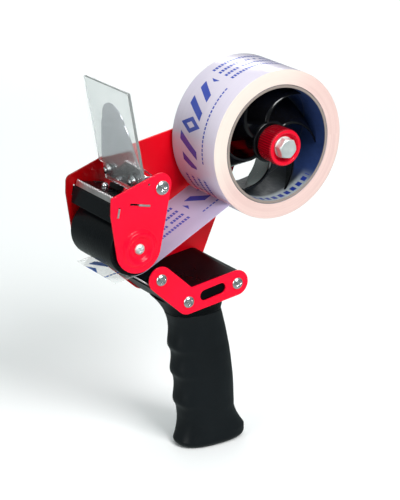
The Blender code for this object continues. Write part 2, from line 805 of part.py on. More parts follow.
def build_flap(parts, cutters):
    clear = material("clear_plastic", (0.86, 0.92, 0.90), 0.05, 0.0, 0.35)
    mirror = material("tongue_steel", STEEL, 0.08, 1.0)
    chrome = material("flap_chrome", STEEL, 0.1, 1.0)
    spring_steel = material("spring_steel", ZINC, 0.3, 1.0)
    half = INNER_Y - 0.5
    notch = INNER_Y - FLAP_NOTCH
    screw_places = [Vector((y, FLAP_SCREW_RISE)) for y in (-FLAP_SCREW_Y, FLAP_SCREW_Y)]
    holes = [circle(place, SMALL_SCREW_RADIUS + GAP, 16) for place in screw_places]
    outline = [
        Vector((-half, FLAP_FOOT)),
        Vector((notch, FLAP_FOOT)),
        Vector((notch, 8.0)),
        Vector((half, 8.0)),
        *arc(Vector((half - 1.0, FLAP_REACH - 1.0)), 1.0, 0, math.pi / 2, 3),
        *arc(Vector((1.0 - half, FLAP_REACH - 1.0)), 1.0, math.pi / 2, math.pi, 3),
    ]
    matrix = face_matrix(FLAP_AXIS, FLAP_UP, FLAP_AHEAD, FLAP_OFFSET + FLAP_PLATE_THICKNESS / 2)
    flat_part("flap_plate", [outline, *holes], FLAP_PLATE_THICKNESS, matrix, parts, clear)

    offset = FLAP_OFFSET - GAP - TONGUE_THICKNESS / 2
    matrix = face_matrix(FLAP_AXIS, FLAP_UP, FLAP_AHEAD, offset)
    tongue = flat_part("flap_tongue", [tongue_outline(), *holes], TONGUE_THICKNESS, matrix, parts, mirror)
    hole = circle(FLAP_AXIS, SMALL_AXLE_RADIUS + GAP, 20)
    for side in (-1, 1):
        low, high = sorted((side * (EAR_Y - 0.2), side * (EAR_Y - 1.0)))
        ear = plate(f"flap_ear_{side:+d}", [ear_outline(), hole], low, high, cutters, None)
        combine(tongue, ear, "UNION", cutters)

    front = FLAP_OFFSET + FLAP_PLATE_THICKNESS
    seat = front + 2 * GAP + FLAP_SPRING_LENGTH + 2 * SPRING_WIRE_RADIUS
    behind = FLAP_OFFSET - 2 * GAP - TONGUE_THICKNESS
    profile = screw_with_nut(2.8, 1.4, seat, behind, 2.2, 3.0)
    place = FLAP_AXIS + FLAP_UP * FLAP_SCREW_RISE
    ahead = Vector((FLAP_AHEAD.x, 0, FLAP_AHEAD.y))
    for name, y in (("right", -FLAP_SCREW_Y), ("left", FLAP_SCREW_Y)):
        matrix = axis_at(place, FLAP_AHEAD, y)
        turned(f"flap_screw_{name}", profile, place, parts, chrome, 12, axis_matrix=matrix)
        start = Vector((place.x, y, place.y)) + ahead * (front + GAP + SPRING_WIRE_RADIUS)
        turns = coil(start, ahead, Vector((0, 1, 0)), FLAP_SPRING_RADII, FLAP_SPRING_LENGTH, 2.0)
        wire(f"flap_spring_{name}", turns, SPRING_WIRE_RADIUS, parts, spring_steel)
    headed_pin("flap_axle", FLAP_AXIS, SMALL_AXLE_RADIUS, FLAP_AXLE_HEAD_RADIUS, parts, chrome)
    build_return_spring(parts, spring_steel)


def build_return_spring(parts, finish):
    """A torsion spring round the flap axle: one leg in the front plate's hole, one behind the tongue."""
    low, high = RETURN_SPRING_Y
    anchor = FLAP_AXIS + ANCHOR
    start_angle = math.atan2(ANCHOR.y, ANCHOR.x) + math.radians(70)
    across = Vector((math.cos(start_angle), 0, math.sin(start_angle)))
    centre = Vector((FLAP_AXIS.x, high, FLAP_AXIS.y))
    turns = coil(centre, Vector((0, -1, 0)), across, (RETURN_SPRING_RADIUS,) * 2, high - low, 4.0)
    leg_end = Vector((anchor.x, OUTER_Y + 0.4, anchor.y))
    leg_bend = Vector((anchor.x, high + 0.6, anchor.y))
    rest = FLAP_OFFSET - 2 * GAP - TONGUE_THICKNESS - RETURN_WIRE_RADIUS
    push = FLAP_AXIS + FLAP_AHEAD * rest + FLAP_UP * 14.0
    tip = Vector((push.x, low - 0.6, push.y))
    wire("flap_return_spring", [leg_end, leg_bend, *turns, tip], RETURN_WIRE_RADIUS, parts, finish)


# Roller


def build_roller(parts):
    rubber = material("roller_rubber", BLACK, 0.7)
    plastic = material("roller_plastic", BLACK, 0.4)
    nylon = material("bush_nylon", (0.75, 0.74, 0.70), 0.5)
    zinc = material("zinc", ZINC, 0.3, 1.0)
    core_radius = ROLLER_RADIUS - RUBBER_WALL
    tube(
        "roller_sleeve",
        core_radius,
        ROLLER_RADIUS,
        -ROLLER_HALF,
        ROLLER_HALF,
        ROLLER_AXIS,
        parts,
        rubber,
        FINE_SIDES,
        chamfer=0.8,
    )
    bush_radius = 6.0
    bush_depth = 6.0
    bore = ROLLER_AXLE_RADIUS + 1.0
    core = [
        (bush_radius + GAP, ROLLER_HALF),
        (core_radius - GAP, ROLLER_HALF),
        (core_radius - GAP, -ROLLER_HALF),
        (bush_radius + GAP, -ROLLER_HALF),
        (bush_radius + GAP, bush_depth - ROLLER_HALF),
        (bore, bush_depth - ROLLER_HALF),
        (bore, ROLLER_HALF - bush_depth),
        (bush_radius + GAP, ROLLER_HALF - bush_depth),
    ]
    turned("roller_core", core, ROLLER_AXIS, parts, plastic, 40, closed=True)
    inner = ROLLER_HALF - bush_depth + GAP
    outer = INNER_Y - 2 * GAP
    for name, low, high in (("left", inner, outer), ("right", -outer, -inner)):
        bore = ROLLER_AXLE_RADIUS + GAP
        tube(f"roller_bush_{name}", bore, bush_radius, low, high, ROLLER_AXIS, parts, nylon, 24)
    headed_pin("roller_axle", ROLLER_AXIS, ROLLER_AXLE_RADIUS, ROLLER_AXLE_HEAD_RADIUS, parts, zinc)


# Spool, brake and tape


def hub_ring(y, spin):
    """The hub's cross-section: a barrel with swept vanes, turned about the spindle by an angle."""
    tip = CORE_BORE_RADIUS - VANE_TIP_CLEARANCE
    steps = 4
    points = []
    for k in range(VANE_COUNT):
        root = spin + VANE_PHASE + 2 * math.pi * k / VANE_COUNT

        def sweep(radius):
            share = (radius - BARREL_RADIUS) / (tip - BARREL_RADIUS)
            return root + VANE_SWEEP * share**1.3

        radii = [BARREL_RADIUS + (tip - BARREL_RADIUS) * i / steps for i in range(steps + 1)]
        lean = 1.35
        for radius in radii:
            points.append((radius, sweep(radius) - VANE_THICKNESS * lean / 2 / radius))
        for radius in reversed(radii):
            points.append((radius, sweep(radius) + VANE_THICKNESS * lean / 2 / radius))
        for step in (1, 2):
            points.append((BARREL_RADIUS, root + 2 * math.pi / VANE_COUNT * step / 3))
    return [
        (SPINDLE.x + radius * math.cos(angle), y, SPINDLE.y + radius * math.sin(angle))
        for radius, angle in points
    ]


def build_spool(parts, cutters):
    gloss = material("hub_black", BLACK, 0.15)
    card = material("core_card", (0.45, 0.40, 0.36), 0.9)
    film = material("tape_film", (0.80, 0.76, 0.82), 0.3)
    half = TAPE_WIDTH / 2
    levels = 8
    low = -half
    rings = [
        hub_ring(low + (VANE_FRONT - low) * i / levels, VANE_TWIST * i / levels) for i in range(levels + 1)
    ]
    hub = loft("hub", rings, parts, gloss)
    nose = turned(
        "hub_nose",
        [(0, BARREL_FRONT), (BARREL_RADIUS - 0.2, BARREL_FRONT), (BARREL_RADIUS - 0.2, 0), (0, 0)],
        SPINDLE,
        cutters,
        None,
        48,
    )
    combine(hub, nose, "UNION", cutters)
    bore = SPINDLE_RADIUS + GAP
    pocket = turned(
        "hub_bore",
        [
            (0, BARREL_FRONT + 5),
            (BARREL_POCKET_RADIUS, BARREL_FRONT + 5),
            (BARREL_POCKET_RADIUS, BARREL_POCKET_FLOOR),
            (bore, BARREL_POCKET_FLOOR),
            (bore, -half - 5),
            (0, -half - 5),
        ],
        SPINDLE,
        cutters,
        None,
        32,
    )
    combine(hub, pocket, "DIFFERENCE", cutters)
    core_outer = CORE_BORE_RADIUS + CORE_WALL
    tube("tape_core", CORE_BORE_RADIUS, core_outer, -half, half, SPINDLE, parts, card, FINE_SIDES)
    tube("tape_roll", core_outer + GAP, ROLL_RADIUS, -half, half, SPINDLE, parts, film, 72)


def build_brake(parts, cutters):
    red = material("knob_red", RED, 0.3)
    zinc = material("bolt_zinc", ZINC, 0.35, 1.0)
    spring_steel = material("brake_spring_steel", ZINC, 0.3, 1.0)
    fibre = material("brake_fibre", (0.25, 0.20, 0.16), 0.9)
    bore = SPINDLE_RADIUS + GAP
    half = TAPE_WIDTH / 2
    tube("brake_disc", bore, 12.0, GAP - INNER_Y, -half - GAP, SPINDLE, parts, fibre, 36)

    washer_front = KNOB_REAR - GAP
    washer_rear = washer_front - THRUST_WASHER_THICKNESS
    tube("thrust_washer", bore, BARREL_POCKET_RADIUS - 0.5, washer_rear, washer_front, SPINDLE, parts, zinc, 32)
    wire_radius = 0.7
    start = BARREL_POCKET_FLOOR + GAP + wire_radius
    length = washer_rear - GAP - wire_radius - start
    points = coil(
        Vector((SPINDLE.x, start, SPINDLE.y)), Vector((0, 1, 0)), Vector((1, 0, 0)), (7.4, 7.4), length, 3.5
    )
    wire("brake_spring", points, wire_radius, parts, spring_steel)

    rim = 1.5
    floor = KNOB_FRONT - KNOB_DISH_DEPTH
    knob = [
        (bore, floor),
        (KNOB_WASHER_RADIUS + 1.2, floor),
        (KNOB_WASHER_RADIUS + 2.4, KNOB_FRONT - 0.8),
        (KNOB_RADIUS - rim - 0.8, KNOB_FRONT),
        (KNOB_RADIUS - rim * 0.4, KNOB_FRONT - 0.4),
        (KNOB_RADIUS, KNOB_FRONT - rim),
        (KNOB_RADIUS - 0.4, KNOB_REAR),
        (bore, KNOB_REAR),
    ]
    turned("tension_knob", knob, SPINDLE, parts, red, 40, closed=True)
    washer_top = floor + GAP + KNOB_WASHER_THICKNESS
    tube("knob_washer", bore, KNOB_WASHER_RADIUS, floor + GAP, washer_top, SPINDLE, parts, zinc, 36)
    build_spindle_bolt(washer_top + GAP, parts, cutters, zinc)


def build_spindle_bolt(seat, parts, cutters, finish):
    """A hex-headed bolt: its chamfered head is a turned blank cut by a hexagon."""
    corner = BOLT_HEAD_FLATS / 2 / math.cos(math.pi / 6)
    top = seat + BOLT_HEAD_HEIGHT
    end = -OUTER_Y - 9.0
    blank = [
        (0, top),
        (BOLT_HEAD_FLATS / 2 - 0.4, top),
        (corner, top - 0.9),
        (corner, seat),
        (SPINDLE_RADIUS, seat),
        (SPINDLE_RADIUS, end + 0.8),
        (SPINDLE_RADIUS - 0.8, end),
        (0, end),
    ]
    bolt = turned("spindle_bolt", blank, SPINDLE, parts, finish, 36)
    hexagon = [polar(SPINDLE, corner, math.pi / 3 * i + math.radians(12)) for i in range(6)]
    prism = plate("bolt_hexagon", [hexagon], end - 5, top + 5, cutters, None)
    combine(bolt, prism, "INTERSECT", cutters)
    nut_hexagon = [polar(SPINDLE, 7.5, math.pi / 3 * i) for i in range(6)]
    bore = circle(SPINDLE, SPINDLE_RADIUS + GAP, 24)
    seat = -OUTER_Y - GAP
    plate("spindle_nut", [nut_hexagon, bore], seat - 6.0, seat, parts, finish)


def tape_path():
    """Side-view points of the free tape: off the roll, under the roller and out in front."""
    radius = ROLLER_RADIUS + GAP + TAPE_THICKNESS / 2
    start = polar(SPINDLE, ROLL_RADIUS + GAP + TAPE_THICKNESS, TAPE_PEEL_ANGLE)
    to_axis = ROLLER_AXIS - start
    bearing = math.atan2(to_axis.y, to_axis.x) - math.asin(radius / to_axis.length)
    under = arc(ROLLER_AXIS, radius, bearing - math.pi / 2, -TAPE_TAIL_DROP - math.pi / 2, 4)
    along = Vector((math.cos(TAPE_TAIL_DROP), -math.sin(TAPE_TAIL_DROP)))
    return [start, *under, under[-1] + along * TAPE_TAIL_LENGTH]


def build_tape_strip(parts):
    film = material("tape_strip_film", (0.80, 0.80, 0.88), 0.2, 0.0, 0.6)
    path = tape_path()
    offsets = []
    for i, place in enumerate(path):
        before = path[max(i - 1, 0)]
        after = path[min(i + 1, len(path) - 1)]
        along = (after - before).normalized()
        offsets.append(Vector((-along.y, along.x)) * TAPE_THICKNESS / 2)
    outline = [p + o for p, o in zip(path, offsets)] + [p - o for p, o in zip(path, offsets)][::-1]
    reach = TAPE_WIDTH / 2 - 0.5
    plate("tape_strip", [outline], -reach, reach, parts, film)


def build_rivets(parts):
    chrome = material("rivet_chrome", STEEL, 0.12, 1.0)
    places = (("front", FRONT_RIVET), ("lower", LOWER_RIVET), ("rear", REAR_RIVET))
    for name, place in places:
        headed_pin(f"handle_rivet_{name}", place, SMALL_AXLE_RADIUS, RIVET_HEAD_RADIUS, parts, chrome)


def pivot(name, place, pieces, parts):
    """An empty on a joint's axis that carries the pieces that move about it or along it."""
    empty = bpy.data.objects.new(name, None)
    empty.location = (place.x * MM, 0, place.y * MM)
    parts.objects.link(empty)
    for piece in pieces:
        obj = parts.objects[piece]
        obj.parent = empty
        obj.matrix_parent_inverse = Matrix.Translation(empty.location).inverted()


def main():
    clear_scene()
    parts = new_collection("tape_dispenser")
    cutters = new_collection("cutters")
    cutters.hide_render = True
    build_plates(parts, cutters)
    build_grip(parts, cutters)
    build_rivets(parts)
    build_carrier(parts, cutters)
    build_carrier_fittings(parts)
    build_flap(parts, cutters)
    build_roller(parts)
    build_spool(parts, cutters)
    build_brake(parts, cutters)
    build_tape_strip(parts)
    for obj in parts.objects:
        if obj.type == "MESH" and not obj.modifiers:
            smooth(obj)
    pivot("spool_pivot", SPINDLE, ("hub", "tape_core", "tape_roll", "brake_spring"), parts)
    pivot("adjuster_pivot", SPINDLE, ("thrust_washer", "tension_knob", "knob_washer", "spindle_bolt"), parts)
    rolling = ("roller_sleeve", "roller_core", "roller_bush_left", "roller_bush_right")
    pivot("roller_pivot", ROLLER_AXIS, rolling, parts)
    sides = ("left", "right")
    fittings = [f"flap_{kind}_{side}" for kind in ("screw", "spring") for side in sides]
    flap = ["flap_plate", "flap_tongue", *fittings]
    pivot("flap_pivot", FLAP_AXIS, flap, parts)


main()
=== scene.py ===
"""Packing tape dispenser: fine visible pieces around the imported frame."""

import math

import bmesh
import bpy
from mathutils import Matrix, Vector
from mathutils.geometry import delaunay_2d_cdt


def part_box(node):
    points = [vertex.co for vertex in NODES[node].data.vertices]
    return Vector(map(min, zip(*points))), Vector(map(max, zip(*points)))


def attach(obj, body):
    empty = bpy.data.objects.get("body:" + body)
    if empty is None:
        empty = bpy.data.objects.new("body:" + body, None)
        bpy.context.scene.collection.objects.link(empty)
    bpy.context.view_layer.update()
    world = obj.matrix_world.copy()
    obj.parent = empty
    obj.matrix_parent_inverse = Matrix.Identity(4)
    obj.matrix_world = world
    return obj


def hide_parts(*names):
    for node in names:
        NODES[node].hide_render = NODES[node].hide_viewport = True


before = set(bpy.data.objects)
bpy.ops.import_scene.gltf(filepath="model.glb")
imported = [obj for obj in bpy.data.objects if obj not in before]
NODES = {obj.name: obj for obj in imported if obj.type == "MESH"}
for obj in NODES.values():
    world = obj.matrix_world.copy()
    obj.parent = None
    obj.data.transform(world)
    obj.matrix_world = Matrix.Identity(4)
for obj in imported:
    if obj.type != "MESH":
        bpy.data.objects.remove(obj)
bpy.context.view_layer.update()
MM = 0.001

# ---------------------------------------------------------------- places, in millimetres


def middle(node):
    low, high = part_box(node)
    return Vector(((low.x + high.x) / 2, (low.z + high.z) / 2)) / MM


def top_of(node, axis=1):
    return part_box(node)[1][axis] / MM


SPINDLE = middle("tape_roll")
ROLLER = middle("roller_sleeve")
FLAP = middle("flap_axle")
FRONT = middle("handle_rivet_front")
LOWER = middle("handle_rivet_lower")
REAR = middle("handle_rivet_rear")
INNER_Y = top_of("handle_side_plate") - 1.5
OUTER_Y = top_of("handle_side_plate")
HALF_TAPE = top_of("tape_roll")
ROLL_R = top_of("tape_roll", 2) - SPINDLE.y
ROLLER_R = top_of("roller_sleeve", 2) - ROLLER.y
GAP = 0.3
ARM_R = 8.7
FRONT_ARM = FRONT - LOWER
REAR_ARM = REAR - LOWER
ARM_AHEAD = FRONT_ARM.normalized()
ARM_DOWN = Vector((ARM_AHEAD.y, -ARM_AHEAD.x))
GRIP_LENGTH = 98.0
CORNER = ROLLER + Vector((ROLLER_R - 7.1, ROLLER_R + 13.5))
PLATE_CORNER = Vector((ROLLER.x + ROLLER_R + 0.9, CORNER.y + 4.7))
TOP_SLOPE = math.radians(13.2)
FRONT_LEAN = math.radians(11.5)
C_BACK = Vector((-math.cos(TOP_SLOPE), -math.sin(TOP_SLOPE)))
C_UP = Vector((-math.sin(TOP_SLOPE), math.cos(TOP_SLOPE)))
C_DOWN = Vector((math.sin(FRONT_LEAN), -math.cos(FRONT_LEAN)))
C_AHEAD = Vector((math.cos(FRONT_LEAN), math.sin(FRONT_LEAN)))
FLAP_LEAN = math.radians(10.2)
F_UP = Vector((math.sin(FLAP_LEAN), math.cos(FLAP_LEAN)))
F_AHEAD = Vector((math.cos(FLAP_LEAN), -math.sin(FLAP_LEAN)))

# ---------------------------------------------------------------- drawing


def polar(centre, radius, angle):
    return centre + radius * Vector((math.cos(angle), math.sin(angle)))


def circle(centre, radius, sides=64):
    return [polar(centre, radius, 2 * math.pi * i / sides) for i in range(sides)]


def arc(centre, radius, start, end, steps):
    return [polar(centre, radius, start + (end - start) * i / steps) for i in range(steps + 1)]


def hull(points):
    ordered = sorted({(round(p.x, 6), round(p.y, 6)) for p in points})

    def chain(run):
        out = []
        for p in run:
            while len(out) > 1:
                a, b = out[-2], out[-1]
                if (b[0] - a[0]) * (p[1] - a[1]) - (b[1] - a[1]) * (p[0] - a[0]) > 1e-9:
                    break
                out.pop()
            out.append(p)
        return out[:-1]

    return [Vector(p) for p in chain(ordered) + chain(reversed(ordered))]


def hull_of_circles(circles, sides=120):
    return hull([p for centre, radius in circles for p in circle(centre, radius, sides)])


def obround(start, end, radius, steps=14):
    along = math.atan2(end.y - start.y, end.x - start.x)
    q = math.pi / 2
    return arc(end, radius, along - q, along + q, steps) + arc(start, radius, along + q, along + 3 * q, steps)


def strip(origin, along, across, span, half):
    low, high = span
    made = [
        origin + low * along - half * across,
        origin + high * along - half * across,
        origin + high * along + half * across,
        origin + low * along + half * across,
    ]
    return made if area(made) > 0 else made[::-1]


def area(loop):
    return sum(a.x * b.y - b.x * a.y for a, b in zip(loop, loop[1:] + loop[:1])) / 2


def rounded(points, radius, closed=True, steps=4):
    """The line with its corners rounded."""
    out = []
    count = len(points)
    for i, p in enumerate(points):
        if not closed and i in (0, count - 1):
            out.append(p.copy())
            continue
        to_a, to_b = points[i - 1] - p, points[(i + 1) % count] - p
        cut = min(radius, 0.45 * to_a.length, 0.45 * to_b.length)
        a, b = p + to_a.normalized() * cut, p + to_b.normalized() * cut
        for k in range(steps + 1):
            t = k / steps
            out.append(a * (1 - t) ** 2 + p * 2 * t * (1 - t) + b * t * t)
    return out


def offset(loop, distance):
    """An anticlockwise loop moved outwards."""
    out = []
    for i, p in enumerate(loop):
        a, b = loop[i - 1], loop[(i + 1) % len(loop)]
        first, second = (p - a).normalized(), (b - p).normalized()
        n1, n2 = Vector((first.y, -first.x)), Vector((second.y, -second.x))
        out.append(p + (n1 + n2) * distance / max(0.3, 1 + n1.dot(n2)))
    return out


def inside(point, loop):
    found = False
    for a, b in zip(loop, loop[1:] + loop[:1]):
        if (a.y > point.y) != (b.y > point.y):
            if point.x < (b.x - a.x) * (point.y - a.y) / (b.y - a.y) + a.x:
                found = not found
    return found


def arms(radius, steps=24):
    """The outline of the two arms that meet at the lower rivet."""
    front = math.atan2(FRONT_ARM.y, FRONT_ARM.x)
    rear = math.atan2(REAR_ARM.y, REAR_ARM.x)
    q = math.pi / 2
    n1 = Vector((math.cos(front + q), math.sin(front + q)))
    n2 = Vector((math.cos(rear - q), math.sin(rear - q)))
    inner = LOWER + (n1 + n2) * radius / (1 + n1.dot(n2))
    return (
        arc(FRONT, radius, front - q, front + q, steps)
        + [inner]
        + arc(REAR, radius, rear - q, rear + q, steps)
        + arc(LOWER, radius, rear + q, front + 3 * q, steps)
    )


# ---------------------------------------------------------------- mesh makers


def side_place(x, z, y):
    return Vector((x, y, z)) * MM


def plane_place(origin, up):
    ahead = Vector((up.y, -up.x))

    def place(u, v, w):
        at = origin + up * v + ahead * w
        return Vector((at.x, u, at.y)) * MM

    return place


def carrier_place(u, v, w):
    at = CORNER - C_DOWN * v + C_AHEAD * w
    return Vector((at.x, u, at.y)) * MM


def nose_place(u, v, w):
    at = FRONT + ARM_AHEAD * v + ARM_DOWN * w
    return Vector((at.x, u, at.y)) * MM


def piece(name, mesh, body, node, finish, sharp=40.0, weighted=False):
    """Links a mesh as a piece that rides on a body and stands for a CAD node."""
    obj = bpy.data.objects.new(name, mesh)
    bpy.context.scene.collection.objects.link(obj)
    for m in finish if isinstance(finish, (list, tuple)) else [finish]:
        mesh.materials.append(m)
    mesh.shade_smooth()
    mesh.set_sharp_from_angle(angle=math.radians(sharp))
    if weighted:
        obj.modifiers.new("face_weight", "WEIGHTED_NORMAL").keep_sharp = True
    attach(obj, body)
    if node:
        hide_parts(*([node] if isinstance(node, str) else node))
    return obj


def to_mesh(bm, name):
    bmesh.ops.recalc_face_normals(bm, faces=bm.faces)
    mesh = bpy.data.meshes.new(name)
    bm.to_mesh(mesh)
    bm.free()
    return mesh


def panel(name, outer, holes, low, high, edge=0.35, steps=3, rings=(), lift=None, place=side_place):
    """A flat piece with rounded edges, through holes and an optional pressed relief."""
    lift = lift or (lambda p: 0.0)
    loops = [(outer, 1.0)] + [(h, -1.0) for h in holes]
    flat, edges, starts = [], [], []
    for loop, sign in loops:
        starts.append(len(flat))
        flat += offset(loop, -edge * sign)
        count = len(loop)
        edges += [(starts[-1] + i, starts[-1] + (i + 1) % count) for i in range(count)]
    for ring in rings:
        start = len(flat)
        flat += ring
        edges += [(start + i, start + (i + 1) % len(ring)) for i in range(len(ring))]
    verts, _, faces, origins, _, _ = delaunay_2d_cdt(flat, edges, [], 0, 1e-5)
    found = {}
    for i, sources in enumerate(origins):
        for s in sources:
            found[s] = i
    bm = bmesh.new()
    tops = [bm.verts.new(place(v.x, v.y, high + lift(v))) for v in verts]
    lows = [bm.verts.new(place(v.x, v.y, low + lift(v))) for v in verts]
    cap_outer = offset(outer, -edge)
    cap_holes = [offset(h, edge) for h in holes]
    for face in faces:
        mid = sum((verts[i] for i in face), Vector((0, 0))) / len(face)
        if not inside(mid, cap_outer) or any(inside(mid, h) for h in cap_holes):
            continue
        bm.faces.new([tops[i] for i in face])
        bm.faces.new([lows[i] for i in reversed(face)])
    for (loop, sign), start in zip(loops, starts):
        count = len(loop)
        rows = [[tops[found[start + i]] for i in range(count)]]
        turn = [math.pi / 2 * k / steps for k in range(1, steps + 1)]
        levels = [(-edge + edge * math.sin(a), high - edge * (1 - math.cos(a))) for a in turn]
        levels += [(o, low + high - y) for o, y in reversed(levels)]
        for out, y in levels:
            moved = offset(loop, out * sign)
            rows.append([bm.verts.new(place(p.x, p.y, y)) for p in moved])
        rows.append([lows[found[start + i]] for i in range(count)])
        for upper, lower in zip(rows, rows[1:]):
            for i in range(count):
                j = (i + 1) % count
                bm.faces.new((upper[i], upper[j], lower[j], lower[i]))
    loose = [v for v in bm.verts if not v.link_faces]
    bmesh.ops.delete(bm, geom=loose, context="VERTS")
    return to_mesh(bm, name)


def lathe(name, profile, centre=None, sides=96, closed=False, matrix=None):
    """A (radius, height) profile turned about an axis along +Y, or along the matrix's Z."""
    place = matrix or (
        Matrix.Translation((centre.x * MM, 0, centre.y * MM)) @ Matrix.Rotation(-math.pi / 2, 4, "X")
    )
    bm = bmesh.new()
    rows = []
    for p in profile:
        if p[0] < 1e-6:
            rows.append([bm.verts.new(place @ Vector((0, 0, p[1] * MM)))])
            continue
        ring = []
        for i in range(sides):
            a = 2 * math.pi * i / sides
            ring.append(bm.verts.new(place @ (Vector((p[0] * math.cos(a), p[0] * math.sin(a), p[1])) * MM)))
        rows.append(ring)
    pairs = list(zip(rows, rows[1:]))
    if closed:
        pairs.append((rows[-1], rows[0]))
    for a, b in pairs:
        for i in range(sides):
            j = (i + 1) % sides
            if len(a) == 1 and len(b) > 1:
                bm.faces.new((a[0], b[j], b[i]))
            elif len(b) == 1 and len(a) > 1:
                bm.faces.new((a[i], a[j], b[0]))
            elif len(a) > 1:
                bm.faces.new((a[i], a[j], b[j], b[i]))
    return to_mesh(bm, name)


def loft(name, rings, close_ends=True, wrap=True):
    bm = bmesh.new()
    made = [[bm.verts.new(Vector(p) * MM) for p in ring] for ring in rings]
    count = len(rings[0])
    for lower, upper in zip(made, made[1:]):
        for i in range(count if wrap else count - 1):
            j = (i + 1) % count
            bm.faces.new((lower[i], lower[j], upper[j], upper[i]))
    if close_ends:
        bm.faces.new(made[0][::-1])
        bm.faces.new(made[-1])
    return to_mesh(bm, name)


def line(points):
    return [Vector(p) for p in points]


def dome(radius, height, base, sign, steps=10):
    return [
        Vector((radius * math.sin(i / steps * math.pi / 2), base + sign * height * math.cos(i / steps * math.pi / 2)))
        for i in range(steps + 1)
    ]


def wire_piece(name, points, radius, body, node, finish):
    curve = bpy.data.curves.new(name, "CURVE")
    curve.dimensions = "3D"
    curve.bevel_depth = radius * MM
    curve.bevel_resolution = 4
    curve.use_fill_caps = True
    spline = curve.splines.new("POLY")
    spline.points.add(len(points) - 1)
    for point, place in zip(spline.points, points):
        point.co = (place[0] * MM, place[1] * MM, place[2] * MM, 1.0)
        point.radius = 1.0
    spline.use_smooth = True
    curve.materials.append(finish)
    obj = bpy.data.objects.new(name, curve)
    bpy.context.scene.collection.objects.link(obj)
    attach(obj, body)
    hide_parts(node)
    return obj


def coil(origin, axis, across, radii, length, turns, per_turn=40):
    other = axis.cross(across)
    steps = round(turns * per_turn)
    points = []
    for i in range(steps + 1):
        a = 2 * math.pi * turns * i / steps
        radius = radii[0] + (radii[1] - radii[0]) * i / steps
        points.append(
            origin + axis * length * i / steps + across * radius * math.cos(a) + other * radius * math.sin(a)
        )
    return points


def axis_matrix(place, direction, y):
    up = Vector((direction.x, 0, direction.y))
    side = Vector((0, 1, 0))
    third = side.cross(up)
    at = (place.x * MM, y * MM, place.y * MM)
    rows = [[side[r], -third[r], up[r], at[r]] for r in range(3)]
    return Matrix(rows + [[0, 0, 0, 1]])


# ---------------------------------------------------------------- materials


class Finish:
    """A material with short calls for its nodes. Coordinates are the object's own, in metres."""

    def __init__(self, name, **sockets):
        self.material = bpy.data.materials.new(name)
        self.material.use_nodes = True
        self.tree = self.material.node_tree
        self.shader = self.tree.nodes["Principled BSDF"]
        self.where = self.tree.nodes.new("ShaderNodeTexCoord").outputs["Object"]
        for key, value in sockets.items():
            socket = self.shader.inputs[key.replace("_", " ")]
            socket.default_value = (*value, 1.0) if isinstance(value, tuple) and len(value) == 3 else value

    def feed(self, socket, value):
        if isinstance(value, bpy.types.NodeSocket):
            self.tree.links.new(value, socket)
        else:
            socket.default_value = value

    def math(self, operation, *values, clamp=False):
        node = self.tree.nodes.new("ShaderNodeMath")
        node.operation = operation
        node.use_clamp = clamp
        for socket, value in zip(node.inputs, values):
            self.feed(socket, value)
        return node.outputs[0]

    def range(self, value, low, high, to_low, to_high, smooth=False):
        node = self.tree.nodes.new("ShaderNodeMapRange")
        if smooth:
            node.interpolation_type = "SMOOTHSTEP"
        for socket, given in zip(node.inputs[:5], (value, low, high, to_low, to_high)):
            self.feed(socket, given)
        return node.outputs[0]

    def stretch(self, scale, where=None):
        node = self.tree.nodes.new("ShaderNodeMapping")
        self.feed(node.inputs["Vector"], where or self.where)
        node.inputs["Scale"].default_value = scale
        return node.outputs[0]

    def noise(self, scale, detail=3.0, rough=0.5, where=None, distortion=0.0):
        node = self.tree.nodes.new("ShaderNodeTexNoise")
        self.feed(node.inputs["Vector"], where or self.where)
        node.inputs["Scale"].default_value = scale
        node.inputs["Detail"].default_value = detail
        node.inputs["Roughness"].default_value = rough
        node.inputs["Distortion"].default_value = distortion
        return node.outputs[0]

    def speckle(self, scale, where=None):
        node = self.tree.nodes.new("ShaderNodeTexVoronoi")
        self.feed(node.inputs["Vector"], where or self.where)
        node.inputs["Scale"].default_value = scale
        return node.outputs["Distance"]

    def mix(self, share, first, second):
        node = self.tree.nodes.new("ShaderNodeMix")
        node.data_type = "RGBA"
        self.feed(node.inputs[0], share)
        for socket, value in ((node.inputs[6], first), (node.inputs[7], second)):
            self.feed(socket, (*value, 1.0) if isinstance(value, tuple) and len(value) == 3 else value)
        return node.outputs[2]

    def split(self):
        node = self.tree.nodes.new("ShaderNodeSeparateXYZ")
        self.feed(node.inputs[0], self.where)
        return node.outputs

    def join(self, x, y=0.0, z=0.0):
        node = self.tree.nodes.new("ShaderNodeCombineXYZ")
        for socket, value in zip(node.inputs, (x, y, z)):
            self.feed(socket, value)
        return node.outputs[0]

    def random(self, vector):
        node = self.tree.nodes.new("ShaderNodeTexWhiteNoise")
        node.noise_dimensions = "3D"
        self.feed(node.inputs["Vector"], vector)
        return node.outputs["Value"]

    def bump(self, *heights):
        """Each height is (value, depth in metres)."""
        normal = None
        for value, depth in heights:
            node = self.tree.nodes.new("ShaderNodeBump")
            node.inputs["Distance"].default_value = depth
            node.inputs["Strength"].default_value = 1.0
            self.feed(node.inputs["Height"], value)
            if normal is not None:
                self.tree.links.new(normal, node.inputs["Normal"])
            normal = node.outputs[0]
        self.tree.links.new(normal, self.shader.inputs["Normal"])

    def set(self, name, value):
        self.feed(self.shader.inputs[name], value)


